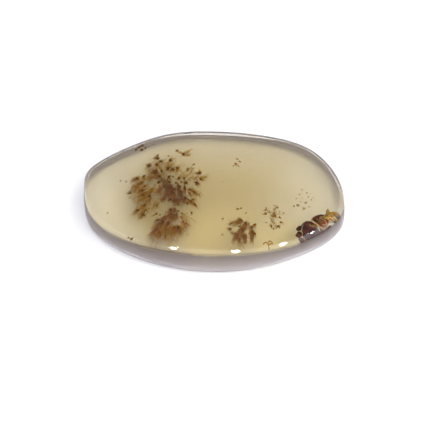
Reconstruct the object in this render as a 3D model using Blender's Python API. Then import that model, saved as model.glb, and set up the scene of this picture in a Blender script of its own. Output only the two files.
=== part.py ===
"""A polished dendritic agate: one piece of chalcedony, cut as a low oval tablet with a flat back.

Metres, +Z up. The origin is the middle of the flat back, +X runs along the stone towards its round end,
and the blunt point of the outline lies at -X.
"""

import math

import bmesh
import bpy
import numpy as np

MM = 0.001

# Driving sizes, in millimetres
LENGTH = 36.4
WIDTH = 21.9
THICKNESS = 4.7
DOME_RISE = 0.35
SHOULDER_RADIUS = 0.9
WALL_LEAN = 0.3
BACK_BEVEL_HEIGHT = 0.55
BACK_BEVEL_INSET = 0.3

# Two places at the front where the cutter's wheel left the wall upright over a taller back bevel
FLAT_AT = (math.radians(213), math.radians(322))
FLAT_SPREAD = math.radians(24)
FLAT_LEAN = 0.05
FLAT_BEVEL_HEIGHT = 1.3
FLAT_BEVEL_INSET = 0.5

# Rim seen from above, in shares of the half length and the half width, anticlockwise from the round end
RIM = (
    (1.0, -0.05),
    (0.935, 0.34),
    (0.77, 0.685),
    (0.42, 0.92),
    (0.0, 1.0),
    (-0.38, 0.945),
    (-0.68, 0.73),
    (-0.89, 0.50),
    (-0.99, 0.305),
    (-1.0, 0.06),
    (-0.935, -0.36),
    (-0.71, -0.71),
    (-0.36, -0.93),
    (0.03, -1.0),
    (0.42, -0.92),
    (0.77, -0.68),
    (0.96, -0.39),
)

STATIONS = 120
SHOULDER_STEPS = 7
DOME_RINGS = (0.86, 0.66, 0.42, 0.2)
BACK_RINGS = (0.6, 0.25)
POINTS_PER_SPAN = 60
SHARP_EDGE = math.radians(24)

AGATE_COLOUR = (0.52, 0.42, 0.21, 1.0)
AGATE_ROUGHNESS = 0.06
AGATE_IOR = 1.54


def closed_spline(points, count):
    """Points at even arc steps on the smooth closed curve through the given points."""
    points = np.asarray(points, float)
    chords = np.linalg.norm(np.roll(points, -1, axis=0) - points, axis=1)
    before = np.roll(chords, 1)
    size = len(points)
    slopes_of = np.zeros((size, size))
    wanted = np.zeros((size, 2))
    for i in range(size):
        h0, h1 = before[i], chords[i]
        slopes_of[i, i - 1] += h1
        slopes_of[i, i] += 2 * (h0 + h1)
        slopes_of[i, (i + 1) % size] += h0
        rise_before = (points[i] - points[i - 1]) / h0
        rise_after = (points[(i + 1) % size] - points[i]) / h1
        wanted[i] = 3 * (h1 * rise_before + h0 * rise_after)
    slopes = np.linalg.solve(slopes_of, wanted)

    fine = []
    for i in range(size):
        j = (i + 1) % size
        for t in np.arange(POINTS_PER_SPAN) / POINTS_PER_SPAN:
            fine.append(
                (2 * t**3 - 3 * t**2 + 1) * points[i]
                + (t**3 - 2 * t**2 + t) * chords[i] * slopes[i]
                + (3 * t**2 - 2 * t**3) * points[j]
                + (t**3 - t**2) * chords[i] * slopes[j]
            )
    fine = np.array(fine + [fine[0]])
    run = np.concatenate([[0], np.cumsum(np.linalg.norm(np.diff(fine, axis=0), axis=1))])
    stops = np.linspace(0, run[-1], count, endpoint=False)
    return np.stack([np.interp(stops, run, fine[:, axis]) for axis in (0, 1)], axis=1)


def rim_curve(count):
    """The widest outline of the stone in millimetres, exactly LENGTH by WIDTH about the origin."""
    shape = closed_spline([(x * LENGTH, y * WIDTH) for x, y in RIM], count)
    low, high = shape.min(axis=0), shape.max(axis=0)
    return (shape - (low + high) / 2) / (high - low) * (LENGTH, WIDTH)


def outward(curve):
    """The unit normal that points out of a closed anticlockwise curve, at each of its points."""
    along = np.roll(curve, -1, axis=0) - np.roll(curve, 1, axis=0)
    along /= np.linalg.norm(along, axis=1)[:, None]
    return np.stack([along[:, 1], -along[:, 0]], axis=1)


def flatness(rim):
    """1 in the middle of each flat stretch of the front, falling smoothly to 0 away from them."""
    angle = np.arctan2(rim[:, 1], rim[:, 0])
    share = np.zeros(len(rim))
    for middle in FLAT_AT:
        off = (angle - middle + math.pi) % (2 * math.pi) - math.pi
        share += np.exp(-((off / FLAT_SPREAD) ** 2))
    return np.minimum(share, 1.0)


def side_profile(flat):
    """(insets from the rim, heights) of each step from the back's edge up to where the low dome begins."""
    lean = WALL_LEAN + (FLAT_LEAN - WALL_LEAN) * flat
    bevel_height = BACK_BEVEL_HEIGHT + (FLAT_BEVEL_HEIGHT - BACK_BEVEL_HEIGHT) * flat
    bevel_inset = BACK_BEVEL_INSET + (FLAT_BEVEL_INSET - BACK_BEVEL_INSET) * flat
    dome_slope = math.atan(2 * DOME_RISE / (WIDTH / 2))
    middle_height = THICKNESS - DOME_RISE - SHOULDER_RADIUS * math.cos(dome_slope)
    steps = [(bevel_inset, 0.0 * flat), (0.0 * flat, bevel_height)]
    first_turn = math.atan(WALL_LEAN / THICKNESS)
    for turn in np.linspace(first_turn, math.pi / 2 - dome_slope, SHOULDER_STEPS + 1):
        inset = lean + SHOULDER_RADIUS * (1 - math.cos(turn))
        height = middle_height + SHOULDER_RADIUS * math.sin(turn)
        steps.append((inset, np.full(len(flat), height)))
    return steps


def stone_rings():
    """Rings of points from the middle of the back, round the side and up to the middle of the face."""
    rim = rim_curve(STATIONS)
    normals = outward(rim)
    sides = []
    for inset, height in side_profile(flatness(rim)):
        sides.append(np.column_stack([rim - normals * inset[:, None], height]))

    rings = [sides[0] * share for share in sorted(BACK_RINGS)] + sides
    face_edge = sides[-1][:, :2]
    edge_height = sides[-1][0, 2]
    rise = THICKNESS - edge_height
    for share in DOME_RINGS:
        height = edge_height + rise * (1 - share**2)
        rings.append(np.column_stack([face_edge * share, np.full(STATIONS, height)]))
    return rings


def bridge(mesh, lower, upper):
    """A band of quads between two rings of vertices."""
    for i in range(len(lower)):
        j = (i + 1) % len(lower)
        mesh.faces.new((lower[i], lower[j], upper[j], upper[i]))


def cap(mesh, ring, height, faces_up):
    """A fan of triangles from a ring to a point at its middle."""
    middle = mesh.verts.new((0.0, 0.0, height * MM))
    for i in range(len(ring)):
        j = (i + 1) % len(ring)
        corners = (ring[i], ring[j], middle)
        mesh.faces.new(corners if faces_up else corners[::-1])


def agate_material():
    """Honey-coloured translucent chalcedony with a polished surface."""
    material = bpy.data.materials.new("agate")
    material.use_nodes = True
    shader = material.node_tree.nodes["Principled BSDF"]
    shader.inputs["Base Color"].default_value = AGATE_COLOUR
    shader.inputs["Roughness"].default_value = AGATE_ROUGHNESS
    shader.inputs["Metallic"].default_value = 0.0
    shader.inputs["IOR"].default_value = AGATE_IOR
    return material


def build_stone():
    """The whole stone, one closed solid."""
    mesh = bmesh.new()
    rows = [[mesh.verts.new(tuple(p * MM)) for p in ring] for ring in stone_rings()]
    for lower, upper in zip(rows, rows[1:]):
        bridge(mesh, lower, upper)
    cap(mesh, rows[0], 0.0, faces_up=False)
    cap(mesh, rows[-1], THICKNESS, faces_up=True)

    data = bpy.data.meshes.new("dendritic_agate")
    mesh.to_mesh(data)
    mesh.free()
    data.shade_smooth()
    data.set_sharp_from_angle(angle=SHARP_EDGE)
    data.materials.append(agate_material())
    stone = bpy.data.objects.new("dendritic_agate", data)
    bpy.context.scene.collection.objects.link(stone)
    return stone


for old in list(bpy.data.objects):
    bpy.data.objects.remove(old)
build_stone()
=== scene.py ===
"""A polished dendritic agate, dressed for its picture.

It makes the see-through stone, the brown plumes that grew inside it, the dense iron plume at its round
end, a plain white table, soft light and a camera. The lists of places are in millimetres and Blender's
own sizes in metres. +X runs along the stone, +Z points out of its polished face, and its flat back lies
on z = 0.
"""

import math
from collections import namedtuple

import bmesh
import bpy
import numpy as np
from mathutils import Matrix, Vector, noise
from mathutils.bvhtree import BVHTree
from mathutils.interpolate import poly_3d_calc


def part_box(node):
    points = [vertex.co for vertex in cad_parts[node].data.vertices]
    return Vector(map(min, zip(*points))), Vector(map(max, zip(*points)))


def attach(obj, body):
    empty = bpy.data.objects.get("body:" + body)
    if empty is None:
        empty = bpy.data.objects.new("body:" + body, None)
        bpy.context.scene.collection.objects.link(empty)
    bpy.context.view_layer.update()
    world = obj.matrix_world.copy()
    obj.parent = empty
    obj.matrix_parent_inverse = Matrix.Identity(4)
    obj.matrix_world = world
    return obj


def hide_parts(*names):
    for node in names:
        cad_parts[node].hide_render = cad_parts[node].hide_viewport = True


bl_info = {
    "name": "Dendritic Agate",
    "version": (1, 0, 0),
    "blender": (4, 5, 0),
    "location": "3D View > Sidebar > Agate",
    "description": "Builds a polished dendritic agate with brown plumes inside, on a white table",
    "category": "Add Mesh",
}

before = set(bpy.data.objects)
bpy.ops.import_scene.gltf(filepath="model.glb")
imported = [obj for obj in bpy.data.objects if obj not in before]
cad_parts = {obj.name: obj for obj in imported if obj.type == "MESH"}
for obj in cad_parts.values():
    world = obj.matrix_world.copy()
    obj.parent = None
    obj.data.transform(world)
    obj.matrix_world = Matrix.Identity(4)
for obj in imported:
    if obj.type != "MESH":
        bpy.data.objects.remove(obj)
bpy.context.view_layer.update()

MM = 0.001
NODE = "dendritic_agate"
BODY = "root"
STONE = "agate_body"
LENGTH, WIDTH, THICKNESS = ((high - low) / MM for low, high in zip(*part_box(NODE)))

# Rim seen from above, in shares of the half length and the half width, anticlockwise from the round end
RIM = (
    (1.0, -0.05),
    (0.935, 0.34),
    (0.77, 0.685),
    (0.42, 0.92),
    (0.0, 1.0),
    (-0.38, 0.945),
    (-0.68, 0.73),
    (-0.89, 0.50),
    (-0.99, 0.305),
    (-1.0, 0.06),
    (-0.935, -0.36),
    (-0.71, -0.71),
    (-0.36, -0.93),
    (0.03, -1.0),
    (0.42, -0.92),
    (0.77, -0.68),
    (0.96, -0.39),
)
POINTS_PER_SPAN = 60

# Two places at the front where the cutter's wheel left the wall upright over a taller back bevel
FLAT_AT = (math.radians(213), math.radians(322))
FLAT_SPREAD = math.radians(24)
FLAT_LEAN = 0.05
FLAT_BEVEL_HEIGHT = 1.3
FLAT_BEVEL_INSET = 0.5

# How finely the visible stone is meshed, and how far its two ground edges are eased
STATIONS = 480
SHOULDER_STEPS = 24
EDGE_STEPS = 5
WALL_STEPS = 4
DOME_RINGS = 24
BACK_RINGS = 8
BACK_EDGE_EASE = 0.06
WIDEST_EDGE_EASE = 0.25

# Where the honey colour of the face is deepest, how much farther it spreads across than along, and where
# it begins and ends to fade to cream, in shares of the half length
HONEY_CENTRE = (0.3, -1.4)
HONEY_SPREAD = 1.35
HONEY_FADES = (0.25, 0.95)
# The clouds that shift this fading: their scale for each millimetre, and the factor and the offset that turn
# their noise into the shift
CLOUD_SCALE = 0.16
CLOUD_DRIFT = (0.45, -0.22)

# Where iron has stained the stone golden, also lightened as painted light near the front rim, as (x, y) of
# each stain's middle and its two half sizes, and where a stain begins and ends to fade, in shares of them.
# The last stain is the pale one
STAINS_AND_LIGHT = ((-6.2, -0.8, 6.4, 9.0), (2.0, -7.0, 8.0, 5.5), (9.0, -8.5, 6.5, 4.5))
STAIN_EDGE = (0.5, 1.0)

# How level the surface lies where the satin of the walls gives way to the polish, and the same at the far
# side, where the satin climbs over the shoulder; the change lies between the two places along Y
POLISH_STARTS = (0.18, 0.55)
FAR_POLISH_STARTS = (0.86, 0.965)
FAR_SIDE = (-2.0, 3.0)

# The heights of the foot, the middle and the top of the wall's tint, which painted shade darkens towards the
# top, in shares of the stone's height, and how much of the foot's tint its middle has
WALL_STOPS = (0.10, 0.42, 0.8)
FOOT_IN_MIDDLE = 0.45

# The frosted skin of the ground wall: how deep it lies, how thick it is, how many steps of the shoulder it
# climbs, and the heights between which painted shade darkens its colour
SKIN_DEPTH = 0.02
SKIN_THICKNESS = 0.02
SKIN_TOP_STEPS = 3
SKIN_CLIMB = (0.2, 3.0)

# The colours of the back bevel on the skin, by the height over the widest line: the span that they fill,
# the places of the thin dark line of painted shade in that span, and where the wall's own colour takes over.
# All of them lie higher on the flat stretches
BEVEL_LINES = (-0.3, 0.5)
BEVEL_STOPS = (0.30, 0.36, 0.50, 0.58)
BEVEL_END = (0.18, 0.42)
FLAT_LINE_LIFT = 0.45

# Where the painted shade along the rim of the back ends, in millimetres inside the widest line, and how far
# a surface faces down where it has that painted shade and where it has none
BACK_SHADE_SPAN = (0.25, 1.25)
BACK_FACES_DOWN = (-0.6, -0.2)

# How far under the stone's surface everything grown in it stays, and the height from which a place outside
# the face is sunk
LEAST_COVER = 0.06
WALL_TOP = 3.4

SEED = 4107
MARKS_SEED = SEED + 50
IRON_SEED = SEED + 80


def length(name, description, default):
    """A setting for a length, given in millimetres."""
    return bpy.props.FloatProperty(
        name=name, description=description, default=default * MM, unit="LENGTH", precision=5
    )


def colour(name, description, default):
    """A setting for a colour."""
    return bpy.props.FloatVectorProperty(
        name=name, description=description, default=default, subtype="COLOR", size=3, min=0.0, max=1.0
    )


def share(name, description, default, low=0.0):
    """A setting between low and 1."""
    return bpy.props.FloatProperty(
        name=name, description=description, default=default, min=low, max=1.0, subtype="FACTOR"
    )


def amount(name, description, default, unit="NONE"):
    """A setting for any amount from 0 up."""
    return bpy.props.FloatProperty(name=name, description=description, default=default, min=0.0, unit=unit)


class StoneSettings(bpy.types.PropertyGroup):
    """Shape, polish and clarity of the stone."""

    dome_rise: length("Dome rise", "How far the face rises to its middle", 0.35)
    shoulder: length("Shoulder", "Radius that turns the face down into the wall", 0.9)
    wall_lean: length("Wall lean", "How far the wall leans in over its height", 0.3)
    bevel_height: length("Back bevel height", "Height of the widest line above the table", 0.55)
    bevel_inset: length("Back bevel inset", "How far the back's edge lies inside the widest line", 0.3)
    ior: amount("Refraction", "Index of refraction of chalcedony", 1.54)
    polish: share("Face roughness", "Roughness of the polished face", 0.02)
    satin: share("Wall roughness", "Roughness of the ground walls", 0.6)
    honey: colour("Honey", "Tint of the face over the middle of the stone", (0.795, 0.716, 0.507))
    cream: colour("Cream", "Tint of the face towards the ends of the stone", (0.975, 0.945, 0.845))
    # Partly painted light: golden, and lighter than the honey so that it brightens the face near the front
    # rim
    stain: colour("Stain", "Tint of the face round the plumes", (0.87, 0.787, 0.548))
    # Partly painted light: golden, and brightening the face near the front rim
    pale_stain_and_light: colour("Pale stain", "Tint of the face round the little tree", (0.93, 0.855, 0.61))
    # Painted shade: the walls' tint darkens towards the shoulder
    wall_top_shade: colour("Wall top", "Tint of the ground walls under the shoulder", (0.41, 0.375, 0.395))
    wall_foot: colour("Wall foot", "Tint of the ground walls at the back bevel", (0.93, 0.91, 1.0))
    bloom: share("Wall bloom", "How much of the light the frosted wall stops", 0.45)
    bevel_bloom: share("Bevel bloom", "How much of the light the frosted bevel stops", 0.65)
    # Painted shade: the frosted wall darkens towards the shoulder
    bloom_top_shade: colour("Bloom top", "Colour of the frosted wall under the shoulder", (0.75, 0.67, 0.58))
    bloom_foot: colour("Bloom foot", "Colour of the frosted wall at the back bevel", (0.93, 0.89, 0.87))
    # Painted shade: the wall's inner side is dark so that the far rim looks dark through the stone
    inner_top_shade: colour("Inner top", "Colour of the wall's top, seen from inside", (0.12, 0.09, 0.12))
    inner_foot_shade: colour("Inner foot", "Colour of the wall's foot, seen from inside", (0.30, 0.26, 0.255))
    bevel_light: colour("Bevel light", "Colour of the ground back bevel", (0.95, 0.92, 0.93))
    # Painted shade: a thin dark line along the crease over the back bevel
    bevel_shade_line: colour("Bevel line", "Colour of the thin line over the back bevel", (0.30, 0.25, 0.26))
    # Painted shade: the back turns grey near the wall, standing in for the dark under the rim
    back_rim_shade: colour("Back rim", "Tint of the back where it nears the wall", (0.28, 0.25, 0.26))
    soaked: colour("Depth tint", "Colour that deep stone keeps of white light", (0.8, 0.72, 0.5))
    soak_density: amount("Depth tint density", "Absorption per metre", 60.0)
    haze: colour("Haze", "Colour of the light that the milky haze scatters", (0.75, 0.80, 0.98))
    haze_density: amount("Haze density", "Scattering per metre", 175.0)
    haze_forward: share("Haze forwardness", "How far the haze scatters forwards", 0.88, low=-1.0)


class DendriteSettings(bpy.types.PropertyGroup):
    """Colours of the iron and manganese stains in the stone."""

    head: colour("Heads", "Dark heads of the sprays, just under the polish", (0.13, 0.058, 0.010))
    mauve: colour("Mauve", "Twigs of the deep plumes", (0.26, 0.10, 0.053))
    olive: colour("Olive", "Twigs of the plumes near the polish", (0.37, 0.172, 0.018))
    rust: colour("Rust", "Twigs of the red-brown plumes", (0.38, 0.148, 0.030))
    faded: colour("Faded mauve", "Twig ends of the deep plumes", (0.50, 0.26, 0.10))
    gold: colour("Gold", "Twig ends of the plumes near the polish", (0.56, 0.35, 0.08))
    orange: colour("Orange", "Twig ends of the red-brown plumes", (0.52, 0.27, 0.095))
    iron: colour("Iron", "Purple brown of the iron plume", (0.11, 0.036, 0.034))
    jasper: colour("Jasper", "Red brown of the iron plume", (0.24, 0.060, 0.022))
    ochre: colour("Ochre", "Olive gold of the iron plume", (0.42, 0.25, 0.03))
    underside: colour("Underside", "Bleached undersides, which the walls mirror", (0.62, 0.56, 0.52))
    vein: colour("Veins", "Pale gold lines between the lobes of the iron plume", (0.78, 0.52, 0.18))


class StageSettings(bpy.types.PropertyGroup):
    """Table, light and camera."""

    table: colour("Table", "Colour of the table", (0.86, 0.865, 0.89))
    overhead: amount("Overhead light", "Brightness of the room straight above", 2.85)
    around: amount("Light around", "Brightness of the room at table height", 0.35)
    lamp_glow: amount("Lamp glow", "Brightness of the lamps mirrored in the shoulder", 26.0)
    strip_glow: amount("Strip glow", "Brightness of the strip mirrored along the far rim", 10.0)
    elevation: bpy.props.FloatProperty(
        name="Camera elevation",
        description="Angle of the camera above the table",
        default=math.radians(55),
        subtype="ANGLE",
    )
    distance: length("Camera distance", "From the middle of the face", 165.5)
    lens: amount("Lens", "Focal length in millimetres", 100.0)


def unit(vector):
    """The vector at length 1."""
    return vector / np.linalg.norm(vector)


def closed_spline(points, count):
    """Points at even arc steps on the smooth closed curve through the given points."""
    points = np.asarray(points, float)
    chords = np.linalg.norm(np.roll(points, -1, axis=0) - points, axis=1)
    before = np.roll(chords, 1)
    size = len(points)
    slopes_of = np.zeros((size, size))
    wanted = np.zeros((size, 2))
    for i in range(size):
        h0, h1 = before[i], chords[i]
        slopes_of[i, i - 1] += h1
        slopes_of[i, i] += 2 * (h0 + h1)
        slopes_of[i, (i + 1) % size] += h0
        rise_before = (points[i] - points[i - 1]) / h0
        rise_after = (points[(i + 1) % size] - points[i]) / h1
        wanted[i] = 3 * (h1 * rise_before + h0 * rise_after)
    slopes = np.linalg.solve(slopes_of, wanted)

    fine = []
    for i in range(size):
        j = (i + 1) % size
        for t in np.arange(POINTS_PER_SPAN) / POINTS_PER_SPAN:
            fine.append(
                (2 * t**3 - 3 * t**2 + 1) * points[i]
                + (t**3 - 2 * t**2 + t) * chords[i] * slopes[i]
                + (3 * t**2 - 2 * t**3) * points[j]
                + (t**3 - t**2) * chords[i] * slopes[j]
            )
    fine = np.array(fine + [fine[0]])
    run = np.concatenate([[0], np.cumsum(np.linalg.norm(np.diff(fine, axis=0), axis=1))])
    stops = np.linspace(0, run[-1], count, endpoint=False)
    return np.stack([np.interp(stops, run, fine[:, axis]) for axis in (0, 1)], axis=1)


def rim_curve(count):
    """The widest outline of the stone in millimetres, exactly LENGTH by WIDTH about the origin."""
    shape = closed_spline([(x * LENGTH, y * WIDTH) for x, y in RIM], count)
    low, high = shape.min(axis=0), shape.max(axis=0)
    return (shape - (low + high) / 2) / (high - low) * (LENGTH, WIDTH)


def outward(curve):
    """The unit normal that points out of a closed anticlockwise curve, at each of its points."""
    along = np.roll(curve, -1, axis=0) - np.roll(curve, 1, axis=0)
    along /= np.linalg.norm(along, axis=1)[:, None]
    return np.stack([along[:, 1], -along[:, 0]], axis=1)


def flatness(rim):
    """1 in the middle of each flat stretch of the front, falling smoothly to 0 away from them."""
    angle = np.arctan2(rim[:, 1], rim[:, 0])
    flat = np.zeros(len(rim))
    for middle in FLAT_AT:
        off = (angle - middle + math.pi) % (2 * math.pi) - math.pi
        flat += np.exp(-((off / FLAT_SPREAD) ** 2))
    return np.minimum(flat, 1.0)


def eased_corner(before, corner, after, ease):
    """Steps of a small curve that rounds off a corner of the side's profile, for all stations at once."""
    back = before - corner
    ahead = after - corner
    start = corner + back * (ease / np.linalg.norm(back, axis=1))[:, None]
    end = corner + ahead * (ease / np.linalg.norm(ahead, axis=1))[:, None]
    turns = np.linspace(0, 1, EDGE_STEPS)
    return [(1 - t) ** 2 * start + 2 * t * (1 - t) * corner + t**2 * end for t in turns]


def side_profile(flat, shape):
    """(inset, height) at all stations for each step from the back's edge up to where the dome begins."""
    lean = shape.wall_lean / MM + (FLAT_LEAN - shape.wall_lean / MM) * flat
    bevel_height = shape.bevel_height / MM + (FLAT_BEVEL_HEIGHT - shape.bevel_height / MM) * flat
    bevel_inset = shape.bevel_inset / MM + (FLAT_BEVEL_INSET - shape.bevel_inset / MM) * flat
    radius = shape.shoulder / MM
    rise = shape.dome_rise / MM
    dome_slope = math.atan(2 * rise / (WIDTH / 2))
    middle_height = THICKNESS - rise - radius * math.cos(dome_slope)
    first_turn = math.atan(shape.wall_lean / MM / THICKNESS)

    shoulder = []
    for turn in np.linspace(first_turn, math.pi / 2 - dome_slope, SHOULDER_STEPS + 1):
        inset = lean + radius * (1 - math.cos(turn))
        height = middle_height + radius * math.sin(turn)
        shoulder.append(np.column_stack([inset, np.full(len(flat), height)]))
    back_edge = np.column_stack([bevel_inset, 0 * flat])
    widest = np.column_stack([0 * flat, bevel_height])
    steps = eased_corner(back_edge + (1, 0), back_edge, widest, BACK_EDGE_EASE)
    steps += eased_corner(back_edge, widest, shoulder[0], WIDEST_EDGE_EASE)
    foot = steps[-1]
    steps += [foot + (shoulder[0] - foot) * s for s in np.linspace(0, 1, WALL_STEPS + 2)[1:-1]]
    return steps + shoulder


def stone_rings(shape):
    """Rings of points from the middle of the back, round the side and up to the middle of the face."""
    rim = rim_curve(STATIONS)
    normals = outward(rim)
    sides = []
    for step in side_profile(flatness(rim), shape):
        sides.append(np.column_stack([rim - normals * step[:, :1], step[:, 1]]))

    rings = [sides[0] * scale for scale in np.linspace(0, 1, BACK_RINGS + 1)[1:-1]] + sides
    face_edge = sides[-1][:, :2]
    edge_height = sides[-1][0, 2]
    rise = THICKNESS - edge_height
    for scale in np.linspace(1, 0, DOME_RINGS + 1)[1:-1]:
        height = edge_height + rise * (1 - scale**2)
        rings.append(np.column_stack([face_edge * scale, np.full(STATIONS, height)]))
    return rings


def rim_distances(data):
    """How far each vertex lies inside the rim as seen from above, in millimetres."""
    places = np.array([vertex.co[:2] for vertex in data.vertices]) / MM
    rim = rim_curve(STATIONS)
    return [float(np.linalg.norm(rim - place, axis=1).min()) for place in places]


def bridge(mesh, lower, upper):
    """A band of quads between two rings of vertices."""
    for i in range(len(lower)):
        j = (i + 1) % len(lower)
        mesh.faces.new((lower[i], lower[j], upper[j], upper[i]))


def cap(mesh, ring, height, faces_up):
    """A fan of triangles from a ring to a point at its middle."""
    middle = mesh.verts.new((0.0, 0.0, height * MM))
    for i in range(len(ring)):
        j = (i + 1) % len(ring)
        corners = (ring[i], ring[j], middle)
        mesh.faces.new(corners if faces_up else corners[::-1])


def paint(data, **values):
    """Stores values for the points of a mesh under their names, for its material to read."""
    for name, numbers in values.items():
        data.attributes.new(name, "FLOAT", "POINT").data.foreach_set("value", numbers)


def add_object(name, data, material):
    """Links a mesh as a piece of the stone, with its one material."""
    data.shade_smooth()
    data.materials.append(material)
    piece = bpy.data.objects.new(name, data)
    bpy.context.scene.collection.objects.link(piece)
    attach(piece, BODY)
    return piece


def skin_rings(shape):
    """Rings of a thin closed band inside the wall, and how far each point lies above the bevel's line."""
    rim = rim_curve(STATIONS)
    normals = outward(rim)
    steps = side_profile(flatness(rim), shape)
    wall = steps[EDGE_STEPS // 2:-SHOULDER_STEPS + SKIN_TOP_STEPS]
    line = steps[EDGE_STEPS + EDGE_STEPS // 2][:, 1] + FLAT_LINE_LIFT * flatness(rim)
    rings, climbs = [], []
    for depth, row in ((SKIN_DEPTH, wall), (SKIN_DEPTH + SKIN_THICKNESS, wall[::-1])):
        rings += [np.column_stack([rim - normals * (step[:, :1] + depth), step[:, 1]]) for step in row]
        climbs += [step[:, 1] - line for step in row]
    return rings, np.concatenate(climbs)


def stone_surface():
    """A search tree of the polished stone, in millimetres."""
    data = bpy.data.objects[STONE].data
    points = [vertex.co / MM for vertex in data.vertices]
    return BVHTree.FromPolygons(points, [face.vertices[:] for face in data.polygons])


def face_height(surface, x, y):
    """Height of the stone's upper surface over a place, in millimetres, or of its wall's top outside it."""
    hit = surface.ray_cast(Vector((x, y, 2 * THICKNESS)), Vector((0, 0, -1)))[0]
    return WALL_TOP if hit is None else hit.z


def kept_inside(points, surface):
    """The points, with those that lie outside the stone or too close to its surface moved in under it."""
    kept = points.copy()
    for i, point in enumerate(points):
        nearest, normal, _, _ = surface.find_nearest(Vector(point))
        if (Vector(point) - nearest).dot(normal) > -LEAST_COVER:
            kept[i] = nearest - normal * LEAST_COVER
    return kept


# A lumpy ball: its rows and sides, and how far its points lie out, in shares of its size
KNOB_ROWS = 5
KNOB_SIDES = 8
KNOB_LUMPS = (0.78, 1.12)


class Growth:
    """Collects closed twigs and knobs, and how far out along its spray each of their points lies."""

    def __init__(self):
        self.points = []
        self.faces = []
        self.reach = []
        self.count = 0

    def add(self, points, faces, reach):
        """Adds one closed shape."""
        self.faces += [tuple(corner + self.count for corner in face) for face in faces]
        self.points.append(points)
        self.reach.append(reach)
        self.count += len(points)

    def twig(self, path, radii, reach, sides):
        """A tapering round twig along a path, closed by a point at each end."""
        along = np.gradient(path, axis=0)
        along /= np.linalg.norm(along, axis=1)[:, None]
        reference = np.eye(3)[np.argmin(np.abs(path[-1] - path[0]))]
        across = np.cross(along, reference)
        across /= np.linalg.norm(across, axis=1)[:, None]
        upward = np.cross(along, across)
        turn = np.linspace(0, 2 * np.pi, sides, endpoint=False)[None, :, None]
        rings = across[:, None] * np.cos(turn) + upward[:, None] * np.sin(turn)
        rings = path[:, None] + rings * radii[:, None, None]
        ends = (path[0] - along[0] * radii[0], path[-1] + along[-1] * radii[-1])

        faces = []
        last = len(path) - 1
        start, end = sides * len(path), sides * len(path) + 1
        for i in range(sides):
            j = (i + 1) % sides
            for k in range(0, last * sides, sides):
                faces.append((k + i, k + j, k + sides + j, k + sides + i))
            faces.append((j, i, start))
            faces.append((last * sides + i, last * sides + j, end))
        self.add(
            np.vstack([rings.reshape(-1, 3), ends]),
            faces,
            np.concatenate([np.repeat(reach, sides), [reach[0], reach[-1]]]),
        )

    def knob(self, rng, middle, size, reach):
        """A lumpy little ball."""
        rows, sides = KNOB_ROWS, KNOB_SIDES
        points = [middle - (0, 0, size[2])]
        for k in range(1, rows):
            polar = math.pi * k / rows
            for i in range(sides):
                turn = 2 * math.pi * i / sides
                flat = math.sin(polar)
                out = np.array((flat * math.cos(turn), flat * math.sin(turn), -math.cos(polar)))
                points.append(middle + out * size * rng.uniform(*KNOB_LUMPS))
        points.append(middle + (0, 0, size[2]))
        faces = []
        top = len(points) - 1
        for i in range(sides):
            j = (i + 1) % sides
            faces.append((0, 1 + j, 1 + i))
            for k in range(rows - 2):
                a, b = 1 + k * sides, 1 + (k + 1) * sides
                faces.append((a + i, a + j, b + j, b + i))
            a = 1 + (rows - 2) * sides
            faces.append((a + i, a + j, top))
        self.add(np.array(points), faces, np.full(len(points), reach))

    def to_piece(self, name, material, surface, tone=0.0):
        """All that was collected as one object inside the stone, with the tone of its colours."""
        points = kept_inside(np.vstack(self.points), surface)
        data = bpy.data.meshes.new(name)
        data.from_pydata((points * MM).tolist(), [], self.faces)
        paint(data, reach=np.concatenate(self.reach), tone=np.full(len(points), tone))
        data.validate()
        return add_object(name, data, material)


# A streak's filaments: how many there are for each millimetre of its width, and at least; how far they
# spread at its start and its end in shares of its width, and how much of that goes along X, Y and Z; how
# much of the way to the end they go
FILAMENTS_PER_MM = 30
FEWEST_FILAMENTS = 4
SPREAD = (0.27, 0.50)
START_SPREAD = (1.0, 1.0, 0.6)
END_SPREAD = (1.0, 1.0, 0.8)
FILAMENT_RUN = (0.45, 1.0)
# The radius of a filament, how it varies, the share of it in the thinnest streaks and at its tip, its
# steps and sides, and how far it bends as a share of its length
FILAMENT_RADIUS = 0.034
FILAMENT_VARIES = (0.6, 1.5)
THIN_STREAK = 0.4
TIP_RADIUS = 0.2
FILAMENT_STEPS = 5
FILAMENT_SIDES = 4
BEND = 0.12
# The side twigs of a filament: how many there are, how they lean away, their length and radius as shares of
# the filament's, how far their colours go on towards the tip's, and their sides
SIDE_TWIGS = 3
TWIG_LEAN = (math.radians(20), math.radians(50))
TWIG_RUN = (0.15, 0.4)
TWIG_RADIUS = 0.7
TWIG_REACH = 0.3
TWIG_SIDES = 3
# The dark core of a streak: its steps and sides, the share of the streak that it fills, the least length,
# the jitter and the change of radius as shares of its own radius, and how far its colours go towards the
# tip's
CORE_STEPS = 6
CORE_SIDES = 9
CORE_SHARE = 0.6
CORE_LEAST = 1.2
CORE_JITTER = 0.12
CORE_TAPER = 0.85
CORE_VARIES = (0.8, 1.15)
CORE_REACH = 0.3
# The lumps on a core: how many there are, how far off and how large they are in shares of its radius, and
# how much smaller each step makes them
LUMPS = 8
LUMPS_OFF = 0.6
LUMP_SIZE = (0.3, 0.65)
LUMP_TAPER = 0.1


def tapered(growth, rng, start, end, radius, reach, sides):
    """A twig that bends a little on its way from start to end and thins out; gives its path."""
    gap = np.linalg.norm(end - start)
    steps = np.linspace(0, 1, FILAMENT_STEPS)
    sag = rng.normal(0.0, BEND * gap, 3)
    curl = rng.normal(0.0, BEND * gap / 2, 3)
    path = start + (end - start) * steps[:, None]
    path = path + sag * np.sin(np.pi * steps)[:, None] + curl * np.sin(2 * np.pi * steps)[:, None]
    radii = radius * (1 - (1 - TIP_RADIUS) * steps)
    growth.twig(path, radii, reach[0] + (reach[1] - reach[0]) * steps, sides)
    return path


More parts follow.
